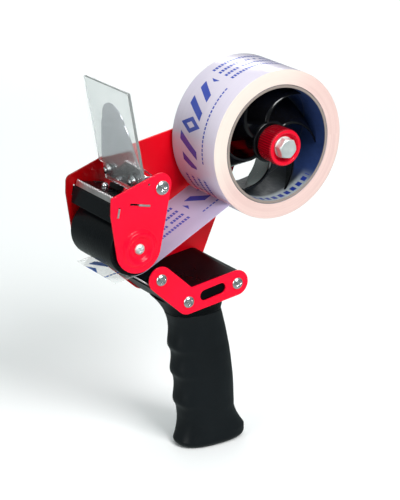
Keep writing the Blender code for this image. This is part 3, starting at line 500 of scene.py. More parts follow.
def painted(name, color, dark, rough, deep=None):
    f = Finish(name, IOR=1.5, Specular_IOR_Level=0.08, Coat_Weight=0.24, Coat_Roughness=0.14)
    drift = f.noise(26, 2)
    coat = f.mix(f.range(drift, 0.35, 0.68, 0.0, 1.0), dark, color)
    # Painted shade: when a deep colour is given, the coat darkens towards the plate's front, along +X.
    if deep:
        coat = f.mix(f.range(f.split()[0], -0.01, 0.095, 0.0, 1.0, smooth=True), coat, deep)
    f.set("Base Color", coat)
    f.set("Roughness", f.range(drift, 0.3, 0.7, rough - 0.03, rough + 0.05))
    dust = f.range(f.speckle(420), 0.02, 0.06, 1.0, 0.0)
    f.bump((f.noise(900, 2), 0.00002), (f.math("MULTIPLY", dust, f.noise(150, 1)), 0.00003))
    return f.material


def moulded(name, color, lighter, rough, grain, depth, coat=0.0, shine=0.25):
    f = Finish(name, IOR=1.5, Specular_IOR_Level=shine, Coat_Weight=coat, Coat_Roughness=0.08)
    drift = f.noise(22, 3)
    f.set("Base Color", f.mix(f.range(drift, 0.3, 0.7, 0.0, 1.0), color, lighter))
    scuff = f.noise(70, 6, 0.65, f.stretch((1.0, 1.0, 0.35)))
    f.set("Roughness", f.range(scuff, 0.3, 0.7, rough - 0.06, rough + 0.08))
    f.bump((f.noise(grain, 2, 0.6), depth), (f.noise(grain * 0.16, 2), depth * 1.2))
    return f.material


def metal(name, color, rough, brush=None, depth=0.00001, stain=0.06):
    f = Finish(name, Metallic=1.0)
    drift = f.noise(160, 3)
    darker = tuple(c * (1 - stain * 2.2) for c in color)
    f.set("Base Color", f.mix(f.range(drift, 0.3, 0.7, 0.0, 1.0), darker, color))
    where = f.stretch(brush) if brush else None
    lines = f.noise(700, 4, 0.6, where)
    f.set("Roughness", f.range(f.math("ADD", lines, drift), 0.7, 1.3, max(0.03, rough - 0.05), rough + 0.07))
    f.bump((lines, depth))
    return f.material


INK = (0.010, 0.045, 0.38)

near_red = painted("red_paint", (0.88, 0.0004, 0.026), (0.80, 0.0004, 0.022), 0.30)
# The main plate's deep colour is painted shade that darkens its red towards the front.
main_red = painted("red_paint_main", (0.86, 0.001, 0.012), (0.76, 0.001, 0.010), 0.30, (0.27, 0.0003, 0.0015))
grip_black = moulded("grip_rubber", (0.0028, 0.0046, 0.0060), (0.0050, 0.0075, 0.0095), 0.40, 2600, 0.00005)
head_black = moulded("head_plastic", (0.0015, 0.0022, 0.0028), (0.003, 0.004, 0.005), 0.30, 900, 0.00002, 0.0, 0.05)
carrier_black = moulded(
    "carrier_paint", (0.0026, 0.0036, 0.0046), (0.0046, 0.0058, 0.0070), 0.24, 800, 0.00002, 0.06, 0.14
)
stop_black = moulded("stop_rubber", (0.005, 0.005, 0.005), (0.010, 0.010, 0.010), 0.6, 1800, 0.00005)
hub_black = moulded("hub_plastic", (0.002, 0.002, 0.003), (0.004, 0.004, 0.005), 0.12, 500, 0.00002, 0.3)
roller_core_black = moulded("roller_plastic", (0.012, 0.012, 0.013), (0.02, 0.02, 0.022), 0.35, 1200, 0.00003)
nylon = moulded("bush_nylon", (0.60, 0.58, 0.52), (0.70, 0.68, 0.62), 0.42, 1500, 0.00003)
fibre = moulded("brake_fibre", (0.16, 0.11, 0.08), (0.26, 0.19, 0.14), 0.8, 1400, 0.0001)
chrome = metal("rivet_chrome", (0.86, 0.87, 0.88), 0.12)
screw_chrome = metal("screw_chrome", (0.76, 0.76, 0.78), 0.14)
mirror_steel = metal("tongue_chrome", (0.62, 0.60, 0.66), 0.16, (1.0, 1.0, 0.05), 0.000001)
spring_steel = metal("spring_steel", (0.62, 0.62, 0.64), 0.22)
zinc = metal("zinc_plate", (0.93, 0.98, 0.97), 0.60, None, 0.00003, 0.06)
tab_steel = metal("tab_steel", (0.92, 0.88, 0.88), 0.46, (1.0, 0.2, 1.0), 0.00003, 0.10)


def blade_finish():
    """Ground strip with a row of dark dots behind the edge: painted shade for the gaps between its teeth."""
    f = Finish("blade_steel", Metallic=1.0)
    x, y, z = f.split()
    lines = f.noise(700, 4, 0.6, f.stretch((0.06, 1.0, 1.0)))
    drift = f.noise(160, 3)
    bright = f.mix(f.range(drift, 0.3, 0.7, 0.0, 1.0), (0.72, 0.66, 0.66), (0.90, 0.86, 0.86))
    back = f.math("ADD", f.math("MULTIPLY", f.math("SUBTRACT", x, CORNER.x * MM), C_BACK.x * 1000),
                  f.math("MULTIPLY", f.math("SUBTRACT", z, CORNER.y * MM), C_BACK.y * 1000))
    # Painted shade: a row of dark dots behind the edge stands for the shaded gaps between the teeth.
    tooth_gap_shade = f.math("LESS_THAN", f.math("FRACT", f.math("MULTIPLY", y, 560.0)), 0.55)
    row = f.math("MULTIPLY", f.math("GREATER_THAN", back, 2.2), f.math("LESS_THAN", back, 3.05))
    f.set("Base Color", f.mix(f.math("MULTIPLY", row, tooth_gap_shade), bright, (0.05, 0.03, 0.04)))
    f.set("Roughness", f.range(f.math("ADD", lines, drift), 0.7, 1.3, 0.33, 0.45))
    f.bump((lines, 0.00002))
    return f.material


blade_steel = blade_finish()


def knob_finish():
    """Red moulding with fine grip ribs on its rim; as painted shade, the rim is darker than the face and each rib is
    dark in its groove and light on its crest.
    """
    f = Finish("knob_plastic", IOR=1.5, Specular_IOR_Level=0.2, Coat_Weight=0.15, Coat_Roughness=0.08)
    x, y, z = f.split()
    dx = f.math("SUBTRACT", x, SPINDLE.x * MM)
    dz = f.math("SUBTRACT", z, SPINDLE.y * MM)
    radius = f.math("SQRT", f.math("ADD", f.math("POWER", dx, 2.0), f.math("POWER", dz, 2.0)))
    rib = f.math("FRACT", f.math("MULTIPLY", f.math("ARCTAN2", dz, dx), 48 / (2 * math.pi)))
    rib = f.math("MULTIPLY", f.math("ABSOLUTE", f.math("SUBTRACT", rib, 0.5)), 2.0)
    side = f.range(radius, 0.0116, 0.0121, 0.0, 1.0)
    drift = f.noise(60, 2)
    face = f.mix(drift, (0.62, 0.001, 0.016), (0.74, 0.001, 0.024))
    # Painted shade: the rim is darker than the face, and each rib is dark in its groove and light on its crest.
    flank = f.mix(rib, (0.16, 0.0005, 0.003), (0.40, 0.001, 0.010))
    f.set("Base Color", f.mix(side, face, flank))
    f.set("Roughness", f.range(drift, 0.3, 0.7, 0.2, 0.3))
    f.bump((f.math("MULTIPLY", side, rib), 0.0003), (f.noise(700, 2), 0.00002))
    return f.material


knob_red = knob_finish()


def rubber_finish():
    f = Finish("roller_rubber", IOR=1.52, Specular_IOR_Level=0.13, Coat_Weight=0.03, Coat_Roughness=0.25)
    x, y, z = f.split()
    drift = f.noise(40, 3)
    f.set("Base Color", f.mix(drift, (0.0020, 0.0028, 0.0036), (0.0045, 0.0060, 0.0075)))
    rings = f.noise(2.0, 2, 0.5, f.join(0.0, f.math("MULTIPLY", y, 900.0), 0.0))
    f.set("Roughness", f.range(f.math("ADD", rings, drift), 0.6, 1.4, 0.22, 0.36))
    f.bump((rings, 0.00003), (f.noise(1500, 2), 0.00002))
    return f.material


roller_rubber = rubber_finish()


REPEAT = 118.0


def print_share(f, u, v):
    """A generic trim of slanted blocks, diamonds and dashes; u runs along the tape and v across, in mm."""
    cell, centre = 12.6, -5.5

    def between(value, low, high):
        return f.math("MULTIPLY", f.math("GREATER_THAN", value, low), f.math("LESS_THAN", value, high))

    run = f.math("MULTIPLY", f.math("FRACT", f.math("DIVIDE", u, REPEAT)), REPEAT)
    across = f.math("SUBTRACT", v, centre)
    slanted = f.math("DIVIDE", f.math("ADD", run, f.math("MULTIPLY", across, 0.55)), cell)
    number = f.math("FLOOR", slanted)
    part = f.math("FRACT", slanted)
    tall = f.range(f.random(f.join(number, 8.0, 5.0)), 0.0, 1.0, 7.2, 11.6)
    block = f.math("MULTIPLY", between(part, 0.18, 0.64), f.math("LESS_THAN", f.math("ABSOLUTE", across), tall))
    straight = f.math("DIVIDE", run, cell)
    aside = f.math("MULTIPLY", f.math("ABSOLUTE", f.math("SUBTRACT", f.math("FRACT", straight), 0.5)), cell)
    reach = f.math("ADD", aside, f.math("MULTIPLY", f.math("ABSOLUTE", across), 0.52))
    diamond = between(reach, 2.4, 5.6)
    pick = f.math("GREATER_THAN", f.math("FRACT", f.math("MULTIPLY", number, 0.3334)), 0.6)
    chosen = f.math("ADD", f.math("MULTIPLY", block, f.math("SUBTRACT", 1.0, pick)), f.math("MULTIPLY", diamond, pick))
    big = f.math("MULTIPLY", chosen, between(run, 2.0, 66.0))

    def rows(v_low, v_high, pitch, word, share, low, high, thick):
        row = f.math("DIVIDE", f.math("SUBTRACT", v, v_low), pitch)
        slot = f.math("DIVIDE", run, word)
        within = f.math("LESS_THAN", f.math("ABSOLUTE", f.math("SUBTRACT", f.math("FRACT", row), 0.5)), thick)
        shown = f.math("LESS_THAN", f.random(f.join(f.math("FLOOR", slot), f.math("FLOOR", row), 2.0)), share)
        dash = f.math("MULTIPLY", f.math("LESS_THAN", f.math("FRACT", slot), 0.72), shown)
        zone = f.math("MULTIPLY", between(v, v_low, v_high), between(run, low, high))
        return f.math("MULTIPLY", f.math("MULTIPLY", within, dash), zone)

    address = rows(-19.0, 9.4, 7.1, 2.3, 0.88, 71.0, 113.0, 0.21)
    trim = rows(9.5, 12.5, 3.0, 2.9, 0.95, 6.0, 64.0, 0.24)
    return f.math("ADD", f.math("ADD", big, address), trim, clamp=True)


PRINT_START = math.radians(20.0)
STRIP_START = 50.0


def film_finish(name, wound):
    """Tape film: pale, glossy, faintly streaked along its length, with the printed trim."""
    f = Finish(name, IOR=1.5, Specular_IOR_Level=0.35, Coat_Weight=0.2, Coat_Roughness=0.08)
    x, y, z = f.split()
    v = f.math("MULTIPLY", y, 1000.0)
    if wound:
        dx = f.math("SUBTRACT", x, SPINDLE.x * MM)
        dz = f.math("SUBTRACT", z, SPINDLE.y * MM)
        u = f.math("MULTIPLY", f.math("ADD", f.math("ARCTAN2", dz, dx), PRINT_START), ROLL_R)
    else:
        u = f.math("ADD", f.math("MULTIPLY", x, 1130.0), STRIP_START)
    streak = f.noise(1.0, 4, 0.6, f.join(f.math("MULTIPLY", u, 0.015), f.math("MULTIPLY", v, 0.9), 0.0))
    cloud = f.noise(30, 2)
    # The free strip's paper is a darker copy of the roll's: painted shade on the run between the plates.
    pale, deep = ((0.62, 0.56, 0.68), (0.84, 0.79, 0.85)) if wound else ((0.46, 0.40, 0.58), (0.58, 0.52, 0.68))
    paper = f.mix(f.math("MULTIPLY", streak, cloud), pale, deep)
    share = f.math("MULTIPLY", print_share(f, u, v), f.range(cloud, 0.3, 0.7, 0.90, 1.0))
    f.set("Base Color", f.mix(share, paper, INK))
    f.set("Roughness", f.range(streak, 0.3, 0.7, 0.14, 0.26))
    f.bump((streak, 0.00006), (f.noise(55, 2), 0.0002))
    if not wound:
        # Painted light: past the roller the tail's paper is painted near white and its ink lighter.
        out = f.range(x, 0.066, 0.074, 0.0, 1.0, smooth=True)
        f.set("Alpha", f.math("SUBTRACT", 0.96, f.math("MULTIPLY", out, f.range(share, 0.0, 1.0, 0.73, 0.12))))
        ink = f.mix(out, INK, (0.045, 0.19, 0.72))
        f.set("Base Color", f.mix(share, f.mix(out, paper, (0.90, 0.96, 0.94)), ink))
    return f.material


def wound_side_finish():
    """The side of the roll: fine windings and a few proud ones, painted paler towards its upper front as painted
    light.
    """
    f = Finish("tape_side", IOR=1.45)
    x, y, z = f.split()
    dx = f.math("SUBTRACT", x, SPINDLE.x * MM)
    dz = f.math("SUBTRACT", z, SPINDLE.y * MM)
    radius = f.math("SQRT", f.math("ADD", f.math("POWER", dx, 2.0), f.math("POWER", dz, 2.0)))
    angle = f.math("ARCTAN2", dz, dx)
    fine = f.noise(1.0, 3, 0.7, f.join(f.math("MULTIPLY", radius, 5200.0), f.math("MULTIPLY", angle, 0.35), 0.0))
    broad = f.noise(1.0, 2, 0.5, f.join(f.math("MULTIPLY", radius, 700.0), f.math("MULTIPLY", angle, 0.5), 3.0))
    tone = f.math("ADD", f.math("MULTIPLY", fine, 0.45), f.math("MULTIPLY", broad, 0.55))
    warm = f.mix(f.range(tone, 0.32, 0.68, 0.0, 1.0), (0.60, 0.42, 0.39), (0.70, 0.52, 0.48))
    # Painted light: the side is paler towards its upper front, where the light falls.
    high = f.range(f.math("ADD", dx, dz), 0.0, 0.05, 0.0, 0.6, smooth=True)
    f.set("Base Color", f.mix(high, warm, (0.72, 0.68, 0.60)))
    f.set("Roughness", f.range(fine, 0.3, 0.7, 0.35, 0.55))
    f.bump((fine, 0.00008), (broad, 0.0001))
    return f.material


def card_finish():
    """The core's paper: pale at its foot, with painted shade that darkens it deeper in the tube and turns it deep blue
    over the top and towards the rear, and a row of printed blocks.
    """
    f = Finish("core_card", Specular_IOR_Level=0.3)
    x, y, z = f.split()
    angle = f.math("ARCTAN2", f.math("SUBTRACT", z, SPINDLE.y * MM), f.math("SUBTRACT", x, SPINDLE.x * MM))
    turn = f.math("MODULO", f.math("ADD", f.math("DIVIDE", angle, 2 * math.pi), 1.0), 1.0)
    fibres = f.noise(420, 5, 0.7, f.stretch((1.0, 0.35, 1.0)))
    lap = f.math("FRACT", f.math("ADD", turn, f.math("MULTIPLY", y, 14.0)))
    seam = f.range(f.math("ABSOLUTE", f.math("SUBTRACT", lap, 0.5)), 0.0, 0.012, 1.0, 0.0)
    pale = f.mix(f.range(fibres, 0.3, 0.7, 0.0, 1.0), (0.26, 0.30, 0.32), (0.40, 0.44, 0.46))
    # Painted shade: the paper darkens deeper into the tube, away from its front edge.
    paper = f.mix(f.range(y, 0.011, 0.0165, 0.0, 1.0, smooth=True), (0.020, 0.026, 0.034), pale)
    # Painted shade: a deep blue cast over the top and rear of the turn.
    blue = f.mix(fibres, (0.010, 0.022, 0.085), (0.030, 0.062, 0.20))
    share = f.range(turn, 0.60, 0.66, 1.0, 0.0, smooth=True)
    painted_shade_tone = f.mix(share, paper, blue)
    slot = f.math("MULTIPLY", turn, 46.0)
    block = f.math("MULTIPLY", f.math("LESS_THAN", f.math("FRACT", slot), 0.62), f.math("GREATER_THAN", y, 0.0175))
    block = f.math("MULTIPLY", block, f.math("LESS_THAN", y, 0.0225))
    block = f.math("MULTIPLY", block, f.math("GREATER_THAN", turn, 0.62))
    block = f.math("MULTIPLY", block, f.math("LESS_THAN", turn, 0.86))
    printed = f.mix(block, painted_shade_tone, (0.012, 0.03, 0.24))
    inner = f.mix(f.math("MULTIPLY", seam, 0.5), printed, (0.08, 0.08, 0.10))
    f.set("Base Color", f.mix(f.math("GREATER_THAN", y, 0.02465), inner, (0.24, 0.20, 0.18)))
    f.set("Roughness", f.range(fibres, 0.3, 0.7, 0.35, 0.6))
    f.bump((fibres, 0.0001), (seam, 0.0002))
    return f.material


def clear_finish():
    """Clear sheet with a slight green tint and faint handling marks."""
    f = Finish("flap_clear", IOR=1.49, Transmission_Weight=0.86, Base_Color=(0.80, 0.86, 0.85))
    haze = f.noise(35, 5, 0.6)
    hair = f.noise(240, 6, 0.75, f.stretch((1.0, 1.0, 0.12)))
    f.set("Base Color", f.mix(f.range(haze, 0.3, 0.7, 0.0, 1.0), (0.78, 0.82, 0.815), (0.88, 0.91, 0.905)))
    f.set("Roughness", f.range(f.math("ADD", haze, hair), 0.8, 1.3, 0.0, 0.05))
    f.bump((hair, 0.00001))
    return f.material


film_roll = film_finish("tape_film", True)
film_strip = film_finish("tape_strip_film", False)
roll_side = wound_side_finish()
card = card_finish()
clear = clear_finish()

# ---------------------------------------------------------------- side plates

BEAD = (6.2, 9.2, 10.6, 13.0)
BEAD_HEIGHT = 1.8


def ease(t):
    t = min(max(t, 0.0), 1.0)
    return t * t * (3 - 2 * t)


def bead_lift(p):
    r = (p - ROLLER).length
    if r < BEAD[1]:
        return BEAD_HEIGHT * ease((r - BEAD[0]) / (BEAD[1] - BEAD[0]))
    return BEAD_HEIGHT * (1 - ease((r - BEAD[2]) / (BEAD[3] - BEAD[2])))


def plate_outline(corner_radius, extra=()):
    corner = PLATE_CORNER - Vector((corner_radius, corner_radius))
    below = PLATE_CORNER - Vector((corner_radius - 0.3, 11.7))
    shapes = [
        (FLAP + Vector((1.2, 1.5)), 8.3),
        (corner, corner_radius),
        (below, corner_radius),
        (ROLLER, ROLLER_R - 2.7),
        *extra,
    ]
    return hull_of_circles(shapes)


def plate_holes(top_slot):
    half = 0.78
    top = CORNER - C_UP * 0.6
    front = CORNER + C_AHEAD * 1.4
    return [
        circle(FLAP, 2.8, 40),
        circle(ROLLER, 3.3, 40),
        strip(top, C_BACK, C_UP, top_slot, half),
        strip(front, C_DOWN, C_AHEAD, (3.0, 10.0), half),
    ]


BEAD_RINGS = [circle(ROLLER, 5.9 + 0.36 * i, 96) for i in range(21)]
RIVET_HOLES = [circle(p, 2.8, 40) for p in (LOWER, REAR, FRONT)]


def build_plates():
    main = plate_outline(4.5, [(SPINDLE, 13.0), (LOWER, ARM_R), (REAR, ARM_R), (FRONT, ARM_R)])
    holes = [*plate_holes((12.4, 21.2)), *RIVET_HOLES, circle(SPINDLE, 4.2, 48)]
    mesh = panel(
        "main_plate", main, holes, -OUTER_Y, -INNER_Y, rings=BEAD_RINGS, lift=lambda p: -bead_lift(p), edge=0.3
    )
    piece("side_plate_right", mesh, "frame", "main_side_plate", main_red, weighted=True)
    anchor = circle(FLAP + Vector((9.5, 3.7)), 0.8, 24)
    mesh = panel(
        "near_plate",
        plate_outline(2.0),
        [*plate_holes((6.0, 21.3)), anchor],
        INNER_Y,
        OUTER_Y,
        rings=BEAD_RINGS,
        lift=bead_lift,
        edge=0.3,
    )
    piece("side_plate_left", mesh, "frame", "front_side_plate", near_red, weighted=True)
    window = obround(LOWER + REAR_ARM * 0.34 + Vector((0, 0.1)), LOWER + REAR_ARM * 0.67 + Vector((0, 0.5)), 3.7)
    mesh = panel("arm_plate", arms(ARM_R), [*RIVET_HOLES, window], INNER_Y, OUTER_Y, edge=0.3)
    piece("arm_plate_left", mesh, "frame", "handle_side_plate", near_red, weighted=True)


build_plates()

# ---------------------------------------------------------------- grip and head

RIDGES = (24.2, 43.6, 65.4)


def grip_front(z):
    edge = 22.3 + 0.1 * (z - 20.0) if z > 20.0 else 22.3 + 1.8 * ((20.0 - z) / 12.0) ** 2
    for depth in RIDGES:
        rise = z - (GRIP_LENGTH - depth)
        edge += 2.1 * math.exp(-((rise / (7.0 if rise > 0 else 3.6)) ** 2))
    return edge + 0.055 * max(0.0, z - GRIP_LENGTH + 9.0) ** 1.6


def grip_rear(z):
    if z > GRIP_LENGTH:
        return -6.4 - 0.24 * (z - GRIP_LENGTH)
    if z > 25.0:
        return -17.9 + 11.5 * ((z - 25.0) / (GRIP_LENGTH - 25.0)) ** 2
    return -17.9 - 8.6 * (min(25.0 - z, 17.0) / 17.0) ** 1.5


def grip_half_width(z):
    return 14.5 + 1.2 * max(0.0, (16.0 - z) / 16.0) + max(0.0, (z - GRIP_LENGTH + 12.0) / 12.0) ** 2


def section(z, inset=0.0, sides=112, power=2.5, widen=0.0, tilt=0.0, flat=None):
    front, rear = grip_front(z) - inset, grip_rear(z) + inset
    centre, half = (front + rear) / 2, (front - rear) / 2
    width = grip_half_width(z) - inset + widen
    ring = []
    for i in range(sides):
        a = 2 * math.pi * i / sides
        c, s = math.cos(a), math.sin(a)
        x = centre + half * math.copysign(abs(c) ** (2 / power), c)
        y = width * math.copysign(abs(s) ** (2 / power), s)
        ring.append((x, y, (z if flat is None else flat) + tilt * (x - centre)))
    return ring


def build_grip():
    round_base = 4.0
    rings = []
    for i in range(9):
        a = math.pi / 2 * i / 8
        inset = round_base * (1 - math.sin(a))
        rings.append(section(round_base, inset, flat=round_base * (1 - math.cos(a))))
    count = 150
    lip = 0.5
    rings += [section(round_base + (GRIP_LENGTH - lip - round_base) * i / count) for i in range(1, count + 1)]
    for i in range(1, 5):
        a = math.pi / 2 * i / 4
        z = GRIP_LENGTH - lip + lip * math.sin(a)
        rings.append(section(z, lip * (1 - math.cos(a))))
    rings += [section(z, 4.5) for z in (GRIP_LENGTH, 56.0, 14.0)]
    piece("grip", loft("grip", rings), "frame", "grip_sleeve", grip_black, sharp=60)

    tilt = -REAR_ARM.y / -REAR_ARM.x
    start = GRIP_LENGTH + GAP
    tang = [section(z, 4.8) for z in (14.3, 56.0, start)]
    neck = [section(start + 0.3 * k / 3, 0.5 * (1 - k / 3)) for k in range(4)]
    steps = 24
    top = 15.5
    for i in range(1, steps + 1):
        t = i / steps
        neck.append(section(start + 0.3 + (top - 0.3) * t, widen=4.0 * t * t, tilt=tilt * t))
    piece("neck", loft("neck", tang + neck), "frame", "grip_core", head_black, sharp=60)

    radius = ARM_R - 0.9
    q = math.pi / 2
    rear = math.atan2(REAR_ARM.y, REAR_ARM.x)
    front = math.atan2(FRONT_ARM.y, FRONT_ARM.x)
    n1 = Vector((math.cos(front + q), math.sin(front + q)))
    n2 = Vector((math.cos(rear - q), math.sin(rear - q)))
    inner = LOWER + (n1 + n2) * radius / (1 + n1.dot(n2))
    face = ARM_R - 0.1

    def at(ahead, down):
        return FRONT + ARM_AHEAD * ahead + ARM_DOWN * down

    groove = (6.5, 7.9)
    outline = rounded([at(3.3, -radius), inner], 0, False)
    outline = (
        outline
        + arc(REAR, radius, rear - q, rear + q, 24)
        + arc(LOWER, radius, rear + q, front + 3 * q, 10)
        + [at(-14.2, radius), at(-12.2, face), at(3.3, face), at(3.3, groove[1]), at(-4.7, groove[1])]
        + [at(-4.7, groove[0]), at(3.3, groove[0])]
    )
    mesh = panel("head", outline, RIVET_HOLES, -(INNER_Y - GAP), INNER_Y - GAP, edge=0.28)
    piece("grip_head", mesh, "frame", "grip_core", head_black, weighted=True)


build_grip()

# ---------------------------------------------------------------- pins, screws, bolt


def cross_recess(mesh, centre, seat, turn, reach=2.3, half=0.45, depth=0.7):
    """Press a cross into both domed ends of a turned pin."""
    for vertex in mesh.vertices:
        across = (Vector((vertex.co.x, vertex.co.z)) / MM - centre).to_3d()
        across.rotate(Matrix.Rotation(turn, 3, "Z"))
        narrow, wide = sorted((abs(across.x), abs(across.y)))
        if abs(vertex.co.y) < (seat + 0.3) * MM or wide > reach:
            continue
        share = ease(min(1.0, max(0.0, (half + 0.3 - narrow) / 0.3))) * (1 - (wide / reach) ** 3)
        vertex.co.y -= math.copysign(depth * share * MM, vertex.co.y)


def build_pins():
    seat = OUTER_Y + GAP
    for node, place, shank, head, finish, slot in (
        ("handle_rivet_front", FRONT, 2.5, 4.1, chrome, "rivet_chrome"),
        ("handle_rivet_lower", LOWER, 2.5, 4.1, chrome, "rivet_chrome"),
        ("handle_rivet_rear", REAR, 2.5, 4.1, chrome, "rivet_chrome"),
        ("flap_axle", FLAP, 2.5, 4.9, chrome, "rivet_chrome"),
        ("roller_axle", ROLLER, 3.0, 3.6, zinc, "axle_zinc"),
    ):
        crown = dome(head, 2.2, seat, 1, 26)
        rim = [Vector((head, seat + 0.001)), Vector((head - 0.25, seat)), Vector((shank, seat))]
        profile = crown[:-1] + rim
        profile += [Vector((p.x, -p.y)) for p in reversed(profile)]
        mesh = lathe(node, profile, place, 112)
        cross_recess(mesh, place, seat, place.x * 0.3)
        piece(f"{node}_pin", mesh, "frame", node, finish, sharp=50)


build_pins()

# ---------------------------------------------------------------- carrier, blades and stop


def toothed(half, low, high, tooth=1.3, pitch=2.0):
    count = round(2 * half / pitch)
    step = 2 * half / count
    points = line([(-half, low), (half, low)])
    for i in range(count):
        right = half - i * step
        points += line([(right, high - tooth), (right - step / 2, high)])
    points.append(Vector((-half, high - tooth)))
    return points


def build_carrier():
    thick, step, step_down, foot = 1.2, 2.0, 3.7, 14.8

    def front(down, ahead):
        return CORNER + C_DOWN * down + C_AHEAD * ahead

    outline = [
        CORNER,
        CORNER + C_BACK * 21.5,
        CORNER - C_UP * thick + C_BACK * 21.5,
        CORNER + (C_BACK + C_DOWN) * thick * 1.1,
        front(step_down + thick, -thick),
        front(step_down + thick, step - thick),
        front(foot, step - thick),
        front(foot, step),
        front(step_down, step),
        front(step_down, 0.0),
    ]
    if area(outline) < 0:
        outline.reverse()
    outline = rounded(outline, 0.7, True, 4)
    reach = INNER_Y - GAP
    mesh = panel("carrier", outline, [], -reach, reach, edge=0.2)
    piece("carrier_bridge", mesh, "frame", "blade_carrier", carrier_black, weighted=True)
    for name, origin, along, across, span in (
        ("top", CORNER - C_UP * 0.6, C_BACK, C_UP, (12.6, 21.0)),
        ("front", front(0.0, 1.4), C_DOWN, C_AHEAD, (3.9, 9.7)),
    ):
        for side, word in ((-1, "right"), (1, "left")):
            low, high = sorted((side * (reach - 1.0), side * (OUTER_Y + 0.15)))
            mesh = panel(f"tab_{name}_{word}", strip(origin, along, across, span, 0.62), [], low, high, edge=0.12)
            finish = tab_steel if side > 0 else carrier_black
            piece(f"carrier_tab_{name}_{word}", mesh, "frame", "blade_carrier", finish, weighted=True)

    half = INNER_Y - 1.0
    mesh = panel("upper", toothed(half, -3.2, 1.3), [], 0.3, 1.1, edge=0.12, steps=2, place=carrier_place)
    piece("blade_upper", mesh, "frame", "upper_blade", blade_steel, weighted=True)
    mesh = panel("lower", toothed(half, -4.4, 4.6), [], 6.8, 7.6, edge=0.12, steps=2, place=nose_place)
    piece("blade_lower", mesh, "frame", "lower_blade", blade_steel, weighted=True)

    seat = CORNER + C_BACK * 14.3
    for side, word in ((-1, "right"), (1, "left")):
        crown = dome(2.6, 2.4, GAP, 1)
        profile = crown + line(
            [(2.6, GAP), (1.6, GAP), (1.6, -1.5), (2.8, -1.5), (2.8, -3.5), (1.6, -3.5), (1.6, -4.3), (0, -4.3)]
        )
        mesh = lathe(f"carrier_screw_{word}", profile, sides=48, matrix=axis_matrix(seat, C_UP, side * 16.0))
        name = f"screw_carrier_{word}"
        piece(name, mesh, "frame", f"carrier_screw_{word}", screw_chrome, sharp=50)
    middle_up = GAP + 1.7
    block = strip(CORNER + C_UP * middle_up, C_BACK, C_UP, (15.4, 20.6), 1.7)
    mesh = panel("stop", rounded(block, 0.7), [], -13.0, -3.0, edge=0.4)
    piece("stop_block", mesh, "frame", "flap_stop_block", stop_black, weighted=True)


build_carrier()

# ---------------------------------------------------------------- flap


def build_flap():
    half = INNER_Y - 0.5
    reach = 67.0
    place = plane_place(FLAP, F_UP)
    screw_holes = [circle(Vector((y, 5.0)), 1.9, 32) for y in (-15.0, 15.0)]
    corner = 1.2
    outline = line([(-half, 8.0), (-22.0, 8.0), (-22.0, -3.5), (22.0, -3.5), (22.0, 8.0), (half, 8.0)])
    outline += arc(Vector((half - corner, reach - corner)), corner, 0, math.pi / 2, 8)
    outline += arc(Vector((corner - half, reach - corner)), corner, math.pi / 2, math.pi, 8)
    mesh = panel("clear", outline, screw_holes, 9.7, 11.7, edge=0.25, place=place)
    piece("flap_clear_sheet", mesh, "flap", "flap_plate", clear, weighted=True)

    crown = arc(Vector((0, 40.5)), 13.5, math.radians(4), math.radians(176), 60)
    flank = [Vector((17.0, 36.0)), Vector((19.5, 27.0)), Vector((22.5, 18.0)), Vector((24.4, 11.0))]
    foot = [Vector((24.4, 8.6)), Vector((20.0, 8.0)), Vector((20.0, -1.5))]
    right = rounded((flank + foot)[::-1] + [Vector((13.6, 43.0))], 3.0, False, 6)[:-1]
    left = [Vector((-p.x, p.y)) for p in reversed(right)]
    tongue = right + crown + left
    mesh = panel("tongue", tongue, screw_holes, 8.6, 9.4, edge=0.2, place=place)
    piece("tongue_plate", mesh, "flap", "flap_tongue", mirror_steel, weighted=True)
    root = [FLAP + F_AHEAD * 9.0 + F_UP * u for u in (-1.1, 7.6)]
    ear = hull(circle(FLAP, 5.2, 80) + root)
    for side, word in ((-1, "right"), (1, "left")):
        low, high = sorted((side * 19.8, side * 19.0))
        mesh = panel(f"ear_{word}", ear, [circle(FLAP, 2.8, 40)], low, high, edge=0.2)
        piece(f"tongue_ear_{word}", mesh, "flap", "flap_tongue", mirror_steel, weighted=True)

    at = FLAP + F_UP * 5.0
    ahead = Vector((F_AHEAD.x, 0, F_AHEAD.y))
    seat = 11.7 + 0.6 + 1.8 + 0.9
    for side, word in ((-1, "right"), (1, "left")):
        matrix = axis_matrix(at, F_AHEAD, side * 15.0)
        profile = dome(2.3, 0.9, seat, 1) + line(
            [(2.3, seat), (1.6, seat), (1.6, 8.3), (3.0, 8.3), (3.0, 6.1), (1.6, 6.1), (1.6, 5.3), (0, 5.3)]
        )
        mesh = lathe(f"flap_screw_{word}", profile, sides=48, matrix=matrix)
        piece(f"screw_flap_{word}", mesh, "flap", f"flap_screw_{word}", screw_chrome, sharp=50)
        start = Vector((at.x, side * 15.0, at.y)) + ahead * (11.7 + GAP + 0.45)
        points = coil(start, ahead, Vector((0, 1, 0)), (4.2, 2.4), 1.8, 3.0)
        name = f"clamp_spring_{word}"
        wire_piece(name, points, 0.33, "flap", f"flap_spring_{word}", chrome)

    low, high = 21.4, 26.2
    anchor = FLAP + Vector((9.5, 3.7))
    angle = math.atan2(3.7, 9.5) + math.radians(70)
    across = Vector((math.cos(angle), 0, math.sin(angle)))
    turns = coil(Vector((FLAP.x, high, FLAP.y)), Vector((0, -1, 0)), across, (4.2, 4.2), high - low, 4.0)
    leg_end = Vector((anchor.x, OUTER_Y + 0.4, anchor.y))
    leg_bend = Vector((anchor.x, high + 0.6, anchor.y))
    push = FLAP + F_AHEAD * 7.8 + F_UP * 14.0
    tip = Vector((push.x, low - 0.6, push.y))
    points = [leg_end, leg_bend, *turns, tip]
    wire_piece("return_spring", points, 0.5, "frame", "flap_return_spring", spring_steel)


build_flap()

# ---------------------------------------------------------------- roller


